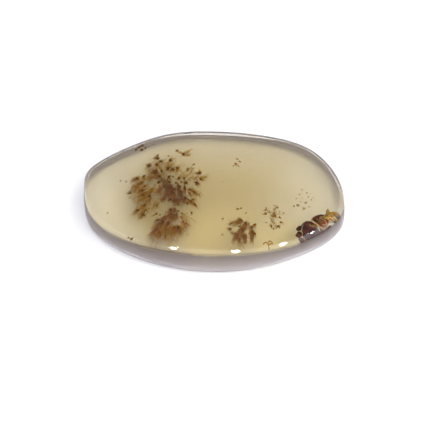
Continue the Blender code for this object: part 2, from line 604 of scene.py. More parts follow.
def add_streak(growth, rng, start, end, width, reach, fill):
    """A brush of fine filaments from start to end, each with a few side twigs."""
    for _ in range(max(FEWEST_FILAMENTS, round(FILAMENTS_PER_MM * width * fill))):
        begin = start + rng.normal(0.0, SPREAD[0] * width, 3) * START_SPREAD
        finish = end + rng.normal(0.0, SPREAD[1] * width, 3) * END_SPREAD
        finish = begin + (finish - begin) * rng.uniform(*FILAMENT_RUN)
        radius = FILAMENT_RADIUS * rng.uniform(*FILAMENT_VARIES) * min(1.0, THIN_STREAK + width)
        path = tapered(growth, rng, begin, finish, radius, reach, FILAMENT_SIDES)
        gap = np.linalg.norm(finish - begin)
        for _ in range(SIDE_TWIGS):
            k = rng.integers(1, FILAMENT_STEPS - 1)
            way = unit(path[k + 1] - path[k])
            aside = unit(np.cross(way, rng.normal(0.0, 1.0, 3)))
            lean = rng.uniform(*TWIG_LEAN)
            tip = path[k] + (way * math.cos(lean) + aside * math.sin(lean)) * gap * rng.uniform(*TWIG_RUN)
            here = reach[0] + (reach[1] - reach[0]) * k / FILAMENT_STEPS
            there = min(here + TWIG_REACH, 1.0)
            tapered(growth, rng, path[k], tip, radius * TWIG_RADIUS, (here, there), TWIG_SIDES)


def add_core(growth, rng, start, end, radius, begin):
    """The dark lumpy core of a streak, thick at its start and gone before its end."""
    steps = np.linspace(0, 1, CORE_STEPS)
    long_enough = max(CORE_SHARE * np.linalg.norm(end - start), CORE_LEAST * radius)
    path = start + unit(end - start) * long_enough * steps[:, None]
    path = path + rng.normal(0.0, CORE_JITTER * radius, (CORE_STEPS, 3))
    radii = radius * (1 - CORE_TAPER * steps) * rng.uniform(*CORE_VARIES, CORE_STEPS)
    growth.twig(path, radii, begin + CORE_REACH * steps, CORE_SIDES)
    for k in rng.integers(0, CORE_STEPS, LUMPS):
        place = path[k] + rng.normal(0.0, LUMPS_OFF * radius, 3)
        size = radius * (1 - LUMP_TAPER * k) * rng.uniform(*LUMP_SIZE, 3)
        growth.knob(rng, place, size, begin + CORE_REACH * steps[k])


# A plume's streaks are (x, y) of the start, (x, y) of the end and the width, as seen on the face in
# millimetres. Tone goes from 0 mauve over 0.5 olive to 1 rust; depth is of the starts and sink is how
# much deeper the ends lie; heads is the thickness of the dark core at each start as a share of the width,
# begin is how far the colour of the starts has gone from dark to pale, and fill is the share of the usual
# number of filaments
Plume = namedtuple("Plume", "piece tone depth sink heads begin fill streaks")
PLUMES = (
    Plume(
        piece="plume_crown", tone=0.4, depth=0.10, sink=0.35, heads=0.75, begin=0.0, fill=1.8,
        streaks=(
            (-7.8, 5.2, -8.4, 5.3, 0.52), (-7.8, 5.7, -7.9, 5.9, 0.26), (-7.3, 4.7, -7.7, 4.4, 0.47),
            (-6.3, 5.6, -6.4, 5.7, 0.26), (-6.1, 4.8, -5.8, 5.2, 0.47), (-8.9, 3.9, -9.4, 4.0, 0.47),
            (-7.9, 4.0, -7.8, 4.4, 0.45), (-6.3, 3.4, -6.3, 2.9, 0.47), (-5.7, 3.2, -5.7, 2.8, 0.52),
            (-5.0, 3.5, -5.1, 2.9, 0.47), (-7.2, 3.0, -7.3, 2.7, 0.4), (-7.4, 2.0, -7.8, 1.7, 0.47),
            (-6.1, 1.9, -6.3, 1.6, 0.52), (-5.6, 2.0, -5.7, 1.7, 0.26), (-4.8, 1.7, -4.9, 1.4, 0.49),
            (-4.0, 1.7, -4.2, 1.4, 0.38), (-3.6, 3.1, -3.5, 3.3, 0.4), (-2.7, 4.1, -2.9, 4.0, 0.26),
            (-1.9, 2.5, -2.5, 2.4, 0.52), (-1.8, 1.5, -1.6, 1.4, 0.42), (-2.4, 0.9, -2.1, 0.5, 0.52),
            (-4.2, 5.9, -4.3, 5.8, 0.62), (-5.2, 6.6, -4.9, 6.5, 0.33), (-7.5, 1.0, -7.7, 0.8, 0.42),
            (-6.1, 1.0, -6.3, 0.8, 0.42), (-5.2, 0.9, -5.0, 0.7, 0.3), (-4.4, 1.0, -4.4, 0.8, 0.3),
            (-3.8, 0.9, -3.7, 0.7, 0.52), (-4.6, 0.2, -4.7, -0.2, 0.42), (-4.0, 0.2, -4.0, -0.2, 0.4),
            (-9.6, 2.1, -9.7, 1.5, 0.42), (-8.2, 2.7, -8.6, 2.6, 0.5), (-7.9, 2.9, -8.2, 3.1, 0.4),
        ),
    ),
    Plume(
        piece="golden_sprays", tone=0.5, depth=0.35, sink=0.2, heads=0.0, begin=0.65, fill=1.0,
        streaks=(
            (-1.8, 1.6, -0.8, 2.0, 0.38), (-1.7, 1.4, -0.9, 1.0, 0.38), (-3.9, 6.1, -3.1, 6.8, 0.60),
            (-3.8, 5.8, -3.1, 5.7, 0.50), (-2.1, 2.4, -1.8, 3.3, 0.33), (-4.5, 6.1, -5.2, 6.5, 0.36),
            (-7.7, 5.2, -8.3, 5.8, 0.28),
        ),
    ),
    Plume(
        piece="crown_clouds", tone=0.1, depth=0.7, sink=0.5, heads=0.0, begin=0.35, fill=0.9,
        streaks=(
            (-8.0, 2.8, -8.8, 3.0, 0.85), (-7.9, 2.4, -8.7, 2.7, 0.85), (-7.7, 1.9, -8.1, 1.4, 0.76),
            (-7.1, 1.4, -7.7, 0.7, 0.85), (-6.1, 1.4, -7.2, 0.0, 0.94), (-7.3, 0.1, -7.8, -0.9, 0.85),
            (-7.2, -0.2, -7.5, -1.4, 0.66), (-8.5, 1.9, -9.4, 0.9, 0.76), (-8.8, 4.1, -9.3, 2.9, 0.57),
        ),
    ),
    Plume(
        piece="crown_haze", tone=0.4, depth=1.0, sink=0.6, heads=0.0, begin=0.6, fill=0.28,
        streaks=(
            (-7.6, 4.6, -8.6, 3.4, 1.6), (-6.4, 4.8, -7.2, 3.4, 1.6), (-5.6, 3.6, -6.6, 2.4, 1.6),
            (-4.4, 3.0, -5.4, 1.8, 1.5), (-3.0, 3.2, -3.6, 2.0, 1.4), (-8.4, 2.6, -9.4, 1.6, 1.5),
            (-7.0, 2.4, -7.6, 1.0, 1.6), (-2.4, 2.0, -2.8, 0.6, 1.3), (-9.6, 1.0, -10.8, -0.4, 1.5),
            (-9.0, -1.0, -10.4, -2.6, 1.5), (-9.0, -3.2, -10.4, -4.6, 1.3),
            (-2.6, -0.6, -2.2, -2.4, 1.2), (-4.0, 1.6, -4.6, 0.4, 1.3), (-8.0, 0.2, -8.8, -1.0, 1.3),
            (-7.6, -2.0, -8.2, -3.6, 1.2),
        ),
    ),
    Plume(
        piece="golden_haze", tone=0.5, depth=0.5, sink=0.8, heads=0.0, begin=0.65, fill=0.42,
        streaks=(
            (-6.5, 3.5, -6.2, 5.2, 0.9), (-7.2, 3.2, -8.6, 4.8, 0.9), (-7.5, 2.2, -9.6, 3.0, 0.8),
            (-9.0, 1.5, -11.2, 1.4, 0.8), (-9.0, 0.2, -11.6, -0.2, 0.9), (-9.2, -1.4, -11.2, -2.6, 0.9),
            (-8.8, -2.6, -10.6, -4.4, 0.9), (-7.8, -2.6, -8.6, -4.6, 0.8),
            (-6.6, -6.4, -7.9, -8.6, 0.9), (-5.6, -6.6, -5.8, -8.9, 0.9), (-4.6, -6.2, -3.9, -8.2, 0.8),
            (-4.0, -4.6, -2.6, -6.4, 0.7), (-3.4, -2.2, -1.8, -3.6, 0.7), (-3.2, -0.4, -1.4, -1.4, 0.7),
            (-2.6, 1.6, -0.8, 1.8, 0.6), (-4.4, 1.8, -3.0, 3.2, 0.8), (-5.2, 3.0, -4.2, 4.6, 0.7),
            (3.4, -5.6, 1.8, -6.6, 0.8), (3.8, -7.0, 3.0, -9.4, 0.9), (5.0, -7.0, 5.2, -9.0, 0.7),
            (8.0, -4.4, 9.4, -4.8, 0.8), (7.8, -5.0, 8.6, -6.6, 0.8), (7.6, -4.0, 6.8, -3.6, 0.7),
            (8.2, -3.8, 8.6, -2.8, 0.6),
        ),
    ),
    Plume(
        piece="plume_west", tone=0.55, depth=0.15, sink=0.6, heads=0.6, begin=0.05, fill=0.8,
        streaks=(
            (-10.5, 1.7, -11.4, 1.4, 0.42), (-9.8, 1.0, -10.6, 0.8, 0.45),
            (-9.4, 0.3, -10.0, 0.0, 0.42), (-9.7, -0.3, -10.7, -0.7, 0.57),
            (-11.3, -0.7, -12.0, -1.0, 0.4), (-8.4, -0.2, -9.0, -0.9, 0.47),
            (-8.7, -1.4, -9.4, -1.7, 0.57), (-9.3, -2.8, -10.1, -3.2, 0.42),
            (-10.2, -3.6, -11.1, -4.5, 0.45), (-9.4, -4.3, -10.1, -5.4, 0.45),
            (-8.7, -3.3, -8.9, -3.6, 0.26), (-7.6, -2.8, -7.9, -3.5, 0.26),
            (-7.6, -4.2, -8.5, -4.8, 0.34), (-7.2, -4.4, -7.3, -4.7, 0.26),
            (-9.6, -1.1, -10.3, -1.4, 0.38),
        ),
    ),
    Plume(
        piece="west_rust", tone=0.75, depth=0.7, sink=0.7, heads=0.4, begin=0.4, fill=0.5,
        streaks=(
            (-9.7, -0.3, -10.9, -1.4, 1.04), (-9.2, -0.7, -10.4, -1.8, 1.04),
            (-9.3, -1.6, -10.6, -2.3, 0.94), (-10.1, 0.7, -11.3, 0.3, 0.76),
            (-9.5, -3.0, -10.7, -4.1, 0.76), (-9.5, -4.1, -10.1, -5.1, 0.57),
            (-8.4, -0.5, -9.3, -1.4, 0.76), (-8.6, -1.8, -9.9, -2.5, 0.66),
            (-10.4, 1.6, -11.7, 0.9, 0.85), (-10.5, 0.2, -11.6, -0.9, 0.85),
            (-9.1, -3.6, -10.5, -5.0, 0.76), (-8.6, -2.0, -9.1, -3.2, 0.57),
        ),
    ),
    Plume(
        piece="heart_clouds", tone=0.0, depth=0.9, sink=0.7, heads=0.5, begin=0.25, fill=0.65,
        streaks=(
            (-6.0, 0.5, -6.8, -1.4, 1.13), (-5.9, 0.0, -5.6, -1.9, 1.42),
            (-6.1, -0.9, -7.1, -2.5, 1.04), (-5.4, -1.1, -5.3, -2.7, 1.23),
            (-6.6, 0.5, -7.3, -0.5, 0.94), (-4.7, -2.0, -5.1, -3.2, 0.94),
            (-4.4, -0.9, -4.4, -3.1, 0.85), (-5.8, -0.2, -6.0, -2.3, 1.13),
            (-4.9, 0.5, -4.7, -1.1, 0.76), (-6.9, -1.8, -7.3, -2.5, 0.66),
            (-3.8, -1.7, -4.1, -3.4, 0.76),
        ),
    ),
    Plume(
        piece="plume_heart", tone=0.15, depth=0.3, sink=0.6, heads=0.6, begin=0.1, fill=0.8,
        streaks=(
            (-5.9, 0.1, -6.6, -0.9, 0.52), (-5.7, -0.7, -5.9, -1.4, 0.57),
            (-5.3, -2.0, -5.6, -2.4, 0.66), (-5.9, -1.9, -6.4, -2.3, 0.47),
            (-4.7, -0.1, -4.8, -1.0, 0.45), (-3.9, -0.1, -3.7, -1.4, 0.49),
            (-3.9, -1.7, -4.1, -2.5, 0.52), (-3.6, -2.5, -3.3, -3.1, 0.42),
            (-4.8, -2.7, -4.7, -3.1, 0.34), (-6.7, -1.7, -7.1, -2.5, 0.47),
            (-5.3, -0.1, -5.2, -0.9, 0.42), (-4.5, -0.5, -4.5, -1.4, 0.42),
        ),
    ),
    Plume(
        piece="plume_east", tone=0.5, depth=0.15, sink=0.5, heads=0.6, begin=0.08, fill=1.0,
        streaks=(
            (-3.3, -0.3, -2.6, -0.7, 0.57), (-2.8, -0.7, -1.8, -1.4, 0.42),
            (-2.9, -1.9, -2.3, -2.1, 0.38), (-3.1, -2.2, -2.5, -3.1, 0.47),
            (-2.6, -2.7, -2.0, -3.5, 0.36), (-3.0, -4.1, -2.8, -4.4, 0.34),
            (-3.5, -1.9, -3.1, -2.8, 0.42), (-3.3, -0.9, -2.7, -1.7, 0.47),
            (-2.4, 0.9, -1.8, 0.3, 0.38),
        ),
    ),
    Plume(
        piece="south_clouds", tone=0.0, depth=0.7, sink=0.7, heads=0.6, begin=0.25, fill=1.2,
        streaks=(
            (-5.8, -3.5, -5.7, -4.2, 0.57), (-5.3, -3.6, -5.2, -4.3, 0.52),
            (-5.7, -4.2, -7.0, -5.4, 0.76), (-5.6, -4.5, -5.9, -6.0, 0.71),
            (-5.3, -4.5, -5.4, -5.8, 0.57), (-6.5, -4.9, -7.4, -5.8, 0.66),
            (-5.0, -4.3, -5.1, -5.6, 0.47), (-7.4, -5.2, -7.9, -5.6, 0.47),
            (-6.1, -5.6, -6.4, -6.9, 0.57), (-6.9, -5.4, -7.3, -6.8, 0.57),
            (-7.2, -5.8, -8.5, -7.0, 0.57), (-7.5, -6.6, -8.7, -7.9, 0.52),
        ),
    ),
    Plume(
        piece="plume_south", tone=0.3, depth=0.25, sink=0.5, heads=0.6, begin=0.1, fill=0.8,
        streaks=(
            (-5.8, -3.6, -5.7, -4.1, 0.47), (-4.8, -3.8, -4.7, -4.1, 0.36),
            (-4.3, -4.2, -4.1, -4.5, 0.38), (-6.8, -5.5, -7.4, -7.3, 0.52),
            (-7.2, -7.2, -7.8, -8.4, 0.52), (-6.4, -6.7, -6.5, -8.0, 0.38),
            (-6.1, -5.8, -6.3, -6.8, 0.4), (-4.8, -6.4, -4.4, -7.7, 0.52),
            (-5.7, -4.3, -5.8, -5.8, 0.47), (-7.0, -5.8, -7.2, -6.7, 0.42),
        ),
    ),
    Plume(
        piece="south_rust", tone=1.0, depth=0.35, sink=0.6, heads=0.45, begin=0.3, fill=1.0,
        streaks=(
            (-4.3, -4.7, -4.1, -5.7, 0.47), (-4.1, -5.5, -3.4, -6.9, 0.57),
            (-3.7, -5.8, -2.8, -6.5, 0.32), (-5.1, -6.3, -5.5, -8.5, 0.66),
            (-5.4, -6.5, -5.7, -8.0, 0.47), (-4.6, -6.7, -4.2, -7.9, 0.42),
            (-7.0, -7.2, -7.7, -8.4, 0.47), (-6.4, -7.8, -6.5, -8.5, 0.38),
            (-7.3, -6.9, -7.7, -7.8, 0.47), (-7.9, -7.2, -8.9, -8.2, 0.47),
        ),
    ),
    Plume(
        piece="south_haze", tone=0.85, depth=1.0, sink=0.6, heads=0.3, begin=0.5, fill=0.5,
        streaks=(
            (-6.5, -6.3, -7.7, -8.7, 1.13), (-5.9, -6.5, -6.4, -8.8, 1.04),
            (-5.1, -6.5, -5.3, -8.9, 1.04), (-4.3, -6.5, -4.6, -8.3, 0.85),
            (-7.0, -5.8, -8.2, -6.9, 0.85), (-3.8, -6.3, -3.6, -7.3, 0.57),
            (-7.6, -6.8, -8.9, -8.2, 0.85),
        ),
    ),
    Plume(
        piece="small_fan", tone=0.4, depth=0.12, sink=0.5, heads=0.7, begin=0.08, fill=0.8,
        streaks=(
            (3.7, -5.3, 3.2, -4.9, 0.48), (3.7, -5.4, 2.0, -5.9, 0.41), (4.4, -5.7, 3.8, -6.6, 0.55),
            (5.6, -6.0, 5.2, -6.5, 0.46), (5.2, -7.1, 5.0, -8.4, 0.63), (5.5, -7.4, 5.0, -8.0, 0.51),
        ),
    ),
    Plume(
        piece="fan_tails", tone=0.1, depth=0.5, sink=0.6, heads=0.5, begin=0.25, fill=0.8,
        streaks=(
            (3.8, -5.4, 2.3, -6.1, 0.68), (3.9, -6.5, 3.2, -7.7, 0.8), (3.6, -7.1, 2.8, -7.7, 0.68),
            (4.0, -6.6, 3.3, -8.3, 0.8), (4.2, -7.7, 3.8, -9.1, 0.8), (3.3, -7.7, 2.6, -9.2, 0.63),
            (3.5, -8.2, 3.3, -9.5, 0.57), (5.2, -6.3, 4.9, -7.7, 0.57), (5.3, -7.7, 5.1, -8.8, 0.68),
            (4.4, -5.9, 4.1, -7.4, 0.68), (3.1, -7.7, 2.1, -7.1, 0.51), (4.3, -8.4, 4.2, -9.5, 0.46),
            (2.5, -5.8, 1.8, -6.0, 0.39), (2.3, -6.7, 1.8, -6.9, 0.51), (5.1, -8.2, 5.0, -9.0, 0.46),
        ),
    ),
)

# Small marks: short curls and dots
MARKS = (
    Plume(
        piece="moss_ring", tone=0.5, depth=0.12, sink=0.15, heads=0.8, begin=0.15, fill=0.6,
        streaks=(
            (7.1, -4.3, 6.4, -4.4, 0.36), (7.1, -3.6, 6.7, -3.8, 0.26), (7.2, -3.4, 7.0, -3.3, 0.16),
            (8.2, -3.0, 8.3, -2.7, 0.16), (8.7, -3.3, 8.4, -3.0, 0.25), (8.2, -4.1, 8.0, -4.6, 0.32),
            (8.2, -4.6, 7.6, -4.9, 0.26), (8.3, -4.6, 8.5, -5.0, 0.26), (8.9, -4.8, 9.1, -5.1, 0.26),
            (8.9, -3.9, 9.0, -3.9, 0.16), (9.4, -4.1, 9.7, -4.3, 0.21), (9.0, -5.6, 9.6, -5.9, 0.3),
            (7.1, -5.7, 7.0, -5.7, 0.21), (7.8, -6.2, 7.4, -6.1, 0.34), (7.8, -6.5, 7.7, -6.1, 0.26),
            (8.8, -6.2, 8.1, -6.7, 0.34), (8.7, -6.2, 8.9, -6.8, 0.3), (8.1, -6.6, 7.8, -6.9, 0.23),
        ),
    ),
    Plume(
        piece="freckles", tone=0.5, depth=0.12, sink=0.1, heads=0.9, begin=0.3, fill=1.6,
        streaks=(
            (12.1, -0.2, 12.2, -0.3, 0.15), (11.8, -1.0, 11.7, -1.1, 0.18),
            (12.7, -0.8, 12.9, -0.7, 0.18), (12.9, -1.4, 13.0, -1.5, 0.16),
            (13.2, -0.9, 13.3, -0.9, 0.10), (11.3, -1.7, 11.2, -1.8, 0.16),
            (13.3, -1.9, 13.4, -2.0, 0.17), (13.5, -1.5, 13.6, -1.5, 0.10),
            (12.6, -2.4, 12.4, -2.4, 0.26), (11.8, -2.2, 11.9, -2.3, 0.16),
            (11.5, -2.8, 11.3, -3.0, 0.30), (10.9, -3.0, 10.8, -2.9, 0.23),
            (12.2, -3.4, 12.4, -3.2, 0.30), (13.0, -3.1, 13.0, -3.0, 0.16),
            (12.1, -1.6, 12.2, -1.6, 0.12),
        ),
    ),
    Plume(
        piece="stray_marks", tone=0.5, depth=0.12, sink=0.1, heads=0.9, begin=0.15, fill=2.0,
        streaks=(
            (3.4, -3.5, 3.0, -3.6, 0.25), (3.7, -3.4, 3.8, -3.4, 0.22), (4.4, -4.2, 4.3, -4.2, 0.19),
            (1.3, -5.1, 1.2, -5.2, 0.22), (1.2, -7.6, 1.1, -7.7, 0.24), (-12.8, 1.3, -12.9, 1.3, 0.18),
            (-12.0, 1.2, -12.1, 1.1, 0.20), (-14.3, -4.0, -14.4, -4.1, 0.19),
            (3.4, 5.0, 3.2, 5.1, 0.23), (3.6, 4.6, 3.8, 4.5, 0.27), (3.1, 4.1, 3.3, 3.9, 0.35),
            (2.8, 3.8, 2.7, 3.7, 0.18), (3.5, 3.8, 3.6, 3.7, 0.18), (1.3, 1.0, 1.4, 1.0, 0.14),
            (-8.5, 7.8, -8.3, 7.8, 0.20),
        ),
    ),
    Plume(
        piece="rim_marks", tone=0.45, depth=0.12, sink=0.1, heads=0.9, begin=0.0, fill=0.5,
        streaks=(
            (-10.9, 6.9, -11.1, 6.8, 0.4), (-10.5, 7.25, -10.3, 7.4, 0.45), (-10.1, 7.5, -9.9, 7.6, 0.45),
            (-10.1, 6.8, -9.9, 6.75, 0.45), (-9.6, 7.1, -9.5, 7.2, 0.3),
            (-10.9, -8.15, -11.2, -8.05, 0.33), (-11.3, -7.95, -11.5, -7.9, 0.24),
        ),
    ),
)


def sight_lean():
    """How far the camera's line of sight runs along y for each millimetre that it sinks into the stone."""
    scene = bpy.context.scene
    inside = math.asin(math.cos(scene.agate_stage.elevation) / scene.agate_stone.ior)
    return math.tan(inside)


def place_under(surface, x, y, depth):
    """The place in the stone at a depth that the camera sees at (x, y) on the face."""
    y = y + depth * sight_lean()
    return np.array((x, y, face_height(surface, x, y) - depth))


# How the depth of a streak's start and the sinking of its end vary, in shares of the plume's, and how far
# the colour of its filaments is ahead of its core's
DEPTH_VARIES = (0.7, 1.4)
SINK_VARIES = (0.6, 1.4)
AHEAD = 0.1


def grow_plume(plume, surface, seed):
    """Grows the streaks of one plume, each from a dark head if the plume has them."""
    rng = np.random.default_rng(seed)
    growth = Growth()
    for x0, y0, x1, y1, width in plume.streaks:
        depth = plume.depth * rng.uniform(*DEPTH_VARIES)
        head = plume.heads * width
        start = place_under(surface, x0, y0, depth + head / 3)
        end = place_under(surface, x1, y1, depth + plume.sink * rng.uniform(*SINK_VARIES))
        if head:
            add_core(growth, rng, start, end, head / 2, plume.begin)
        add_streak(growth, rng, start, end, width, (plume.begin + AHEAD, 1.0), plume.fill)
    return growth


def lay_streak(growth, rng, surface, ends, width, cover, reach):
    """A brush of filaments at an even depth between two ends seen on the face, given as x, y, x, y."""
    start, end = (place_under(surface, x, y, cover) for x, y in (ends[:2], ends[2:]))
    add_streak(growth, rng, start, end, width, reach, fill=1.0)


# The little tree near the front edge: a stem and its arching arms, as (x, y) seen on the face, how thick
# they are, how deep they lie, and their colours
TREE = (
    ((7.4, -9.7), (7.3, -9.3), (7.3, -8.9)),
    ((7.3, -9.1), (7.0, -8.7), (6.7, -8.9), (6.6, -9.1)),
    ((7.3, -8.9), (7.4, -8.5), (7.7, -8.6), (7.9, -9.0)),
    ((7.3, -9.2), (7.6, -8.9), (7.8, -8.9)),
)
TREE_RADIUS = 0.085
TREE_DEPTH = 0.14
TREE_REACH = (0.15, 0.45)
TREE_TONE = 0.5
# How finely a twig follows its plan, how thin its thinnest part is, and the part of a half wave by which it
# swells and thins
STEPS_PER_POINT = 4
THINNEST = 0.35
HALF_WAVE = (0.08, 0.92)


def lay_twig(growth, surface, plan, radius, depth, reach, sides=6):
    """A twig that follows a plan at an even depth under the face, thickest in its middle."""
    fine = np.linspace(0, len(plan) - 1, STEPS_PER_POINT * len(plan))
    plan = np.array(plan)
    x, y = (np.interp(fine, range(len(plan)), plan[:, axis]) for axis in (0, 1))
    path = np.array([(a, b, face_height(surface, a, b) - depth) for a, b in zip(x, y)])
    swell = THINNEST + (1 - THINNEST) * np.sin(np.pi * np.linspace(*HALF_WAVE, len(path)))
    growth.twig(path, radius * swell, np.linspace(*reach, len(path)), sides)


# The dense iron plume under the shoulder at the round end: flat lobes with their outlines as (x, y) seen
# on the face, how thick they are, and their tint from 0 purple over 0.5 red to 1 olive
Lobe = namedtuple("Lobe", "tint thickness outline")
LOBES = (
    Lobe(
        tint=0.0, thickness=0.2, outline=(
            (11.85, -6.3), (12.05, -5.8), (12.8, -5.5), (13.4, -5.6), (13.7, -6.1), (14.2, -6.7),
            (14.7, -7.0), (14.2, -7.6), (13.4, -8.2), (12.6, -8.5), (12.0, -8.1), (11.8, -7.2),
        ),
    ),
    Lobe(
        tint=0.1, thickness=0.15, outline=(
            (11.6, -6.1), (11.3, -6.25), (11.1, -6.55), (11.3, -6.9), (11.7, -6.8), (11.85, -6.35),
        ),
    ),
    Lobe(
        tint=0.1, thickness=0.15, outline=(
            (11.45, -6.95), (11.05, -7.25), (10.95, -7.7), (11.25, -8.0), (11.75, -7.8), (11.9, -7.2),
        ),
    ),
    Lobe(
        tint=0.1, thickness=0.15, outline=(
            (11.7, -7.9), (11.3, -8.15), (11.7, -8.5), (12.4, -8.55), (12.6, -8.2), (12.2, -7.9),
        ),
    ),
    Lobe(
        tint=0.5, thickness=0.2, outline=(
            (13.3, -5.2), (13.5, -4.8), (14.1, -4.4), (14.8, -4.3), (15.3, -4.7), (15.6, -5.3),
            (15.3, -5.9), (14.8, -6.3), (14.2, -6.0), (13.6, -5.6),
        ),
    ),
    Lobe(
        tint=0.2, thickness=0.15, outline=(
            (14.3, -6.2), (14.9, -6.5), (15.3, -6.1), (15.8, -5.7), (15.6, -6.3), (15.0, -6.9),
            (14.5, -7.2),
        ),
    ),
    Lobe(
        tint=1.0, thickness=0.2, outline=(
            (14.8, -4.3), (15.3, -3.85), (15.5, -3.3), (15.75, -3.75), (16.2, -3.7), (16.8, -3.9),
            (17.2, -4.3), (17.1, -5.2), (16.4, -5.4), (15.8, -5.3), (15.3, -4.8),
        ),
    ),
)
# Thick dark ridges along the lobes' upper edges, and the gold veins between and over the lobes
RIDGES = (
    (0.15, 0.13, ((11.75, -6.3), (12.0, -5.8), (12.5, -5.45), (13.1, -5.45), (13.6, -5.8), (13.9, -6.2))),
    (0.35, 0.12, ((13.25, -5.2), (13.4, -4.85), (13.9, -4.5), (14.5, -4.3), (15.0, -4.35))),
    (0.80, 0.08, ((15.2, -4.1), (15.9, -4.5), (16.4, -5.0))),
    (0.80, 0.07, ((15.9, -3.85), (16.4, -4.2), (16.9, -4.7))),
)
VEINS = (
    (0.07, ((13.1, -4.95), (13.3, -5.25), (13.7, -5.65), (14.2, -6.1), (14.6, -6.5), (15.0, -6.35))),
    (0.05, ((14.5, -4.5), (15.0, -4.6), (15.4, -4.9), (15.8, -5.3), (16.3, -5.35))),
    (0.05, ((15.6, -5.5), (15.3, -5.9), (14.9, -6.25), (14.7, -6.7))),
    (0.04, ((13.2, -6.0), (13.6, -6.1), (13.9, -6.4))),
    (0.05, ((15.8, -4.15), (16.2, -4.5), (16.6, -4.85), (17.0, -5.1))),
    (0.05, ((15.5, -4.4), (15.9, -4.8), (16.3, -5.1))),
    (0.05, ((14.2, -4.9), (14.7, -5.0), (15.1, -5.3), (15.2, -5.8))),
    (0.04, ((11.85, -7.1), (11.85, -7.8), (12.2, -8.15), (12.6, -8.3))),
)
# Fine streaks over the lobes, as (x, y) of the start, (x, y) of the end, the width and the tint of a lobe;
# those of GOLD_STREAKS have no tint
IRON_STREAKS = (
    (12.2, -6.2, 13.6, -7.6, 0.5, 0.3), (12.8, -5.9, 14.2, -7.3, 0.5, 0.5),
    (12.1, -7.0, 13.0, -8.2, 0.4, 0.4), (13.2, -5.9, 14.5, -7.0, 0.3, 0.1),
    (12.5, -5.7, 13.4, -6.6, 0.3, 0.1), (13.7, -5.3, 15.2, -5.9, 0.4, 0.8),
    (13.9, -4.8, 15.4, -5.3, 0.35, 0.25), (14.4, -4.6, 15.5, -5.0, 0.3, 0.9),
    (13.6, -5.0, 14.6, -6.1, 0.3, 0.2), (15.4, -4.7, 16.8, -4.05, 0.25, 0.8),
    (15.9, -5.0, 17.0, -4.5, 0.2, 0.7), (15.5, -3.4, 15.6, -4.2, 0.15, 0.8),
    (14.9, -5.1, 15.9, -4.4, 0.25, 0.6), (15.3, -5.4, 16.3, -5.0, 0.2, 0.3),
)
GOLD_STREAKS = (
    (12.9, -5.9, 13.9, -6.6, 0.12), (13.9, -5.1, 15.0, -5.6, 0.12), (14.6, -5.9, 15.5, -5.6, 0.14),
    (14.3, -4.75, 15.0, -4.8, 0.10), (15.2, -4.9, 16.9, -4.2, 0.16), (15.7, -5.2, 17.1, -4.6, 0.16),
    (15.0, -4.4, 16.3, -3.9, 0.12), (16.0, -4.1, 16.9, -3.9, 0.10), (14.9, -6.3, 15.6, -5.8, 0.14),
    (12.2, -8.2, 12.9, -8.0, 0.12), (15.5, -4.4, 16.6, -4.3, 0.10), (15.9, -4.9, 17.1, -4.3, 0.18),
    (15.4, -5.1, 16.5, -4.7, 0.18), (14.9, -4.9, 16.0, -4.6, 0.14), (15.4, -3.9, 15.6, -3.4, 0.08),
)
# How deep the lobes, their streaks and the veins lie
IRON_COVER = 0.10
STREAK_COVER = 0.09
VEIN_COVER = 0.07
# How a lobe is meshed, how its outline ripples in shares of its size and its top wrinkles in millimetres,
# the waves of both for each millimetre, how far its edge droops in shares of its thickness, how thick its
# edge is, and where in the noise the two begin
LOBE_STATIONS = 56
LOBE_RINGS = (1.0, 0.97, 0.9, 0.78, 0.6, 0.4, 0.2)
LOBE_RIPPLE = 0.22
LOBE_RELIEF = 0.07
RIPPLE_WAVES = 2.3
WRINKLE_WAVES = 2.6
LOBE_DROOP = 0.3
LOBE_EDGE = 0.01
RIPPLE_START = 5.0
WRINKLE_START = 9.0


def waves(x, y, scale, start):
    """Smooth noise between about -1 and 1 at a place."""
    return noise.noise(Vector((x * scale, y * scale, start)))


def add_lobe(growth, surface, lobe):
    """One flat lobe under the polish: closed, rounded at its edge and wrinkled on top."""
    outline = closed_spline(lobe.outline[::-1], LOBE_STATIONS)
    middle = outline.mean(axis=0)
    ripple = [waves(x, y, RIPPLE_WAVES, RIPPLE_START + lobe.tint) for x, y in outline]
    outline = middle + (outline - middle) * (1 + LOBE_RIPPLE * np.array(ripple))[:, None]
    top, bottom = [], []
    for scale in LOBE_RINGS:
        for x, y in middle + (outline - middle) * scale:
            wrinkle = abs(waves(x, y, WRINKLE_WAVES, lobe.tint * WRINKLE_START))
            sunk = LOBE_RELIEF * wrinkle * (1.2 - scale) + LOBE_DROOP * lobe.thickness * scale**6
            height = face_height(surface, x, y) - IRON_COVER - sunk
            top.append((x, y, height))
            bottom.append((x, y, height - LOBE_EDGE - lobe.thickness * (1 - scale**4)))
    height = face_height(surface, *middle) - IRON_COVER
    points = top + bottom + [(*middle, height), (*middle, height - lobe.thickness)]
    faces = []
    below = len(top)
    last = (len(LOBE_RINGS) - 1) * LOBE_STATIONS
    for i in range(LOBE_STATIONS):
        j = (i + 1) % LOBE_STATIONS
        for k in range(0, last, LOBE_STATIONS):
            outer, inner = k, k + LOBE_STATIONS
            faces.append((outer + i, outer + j, inner + j, inner + i))
            faces.append((below + outer + j, below + outer + i, below + inner + i, below + inner + j))
        faces.append((last + i, last + j, 2 * below))
        faces.append((below + last + j, below + last + i, 2 * below + 1))
        faces.append((j, i, below + i, below + j))
    growth.add(np.array(points), faces, np.full(len(points), lobe.tint))


# The node group for mineral grain, and the part of its noise that becomes the full swing of brightness
GRAIN = "Mineral Grain"
GRAIN_SPAN = (0.3, 0.7)
# The two colour inputs and the colour output of a Mix node, among those for its other kinds of value
MIX_COLOURS = (6, 7)
MIX_RESULT = 2
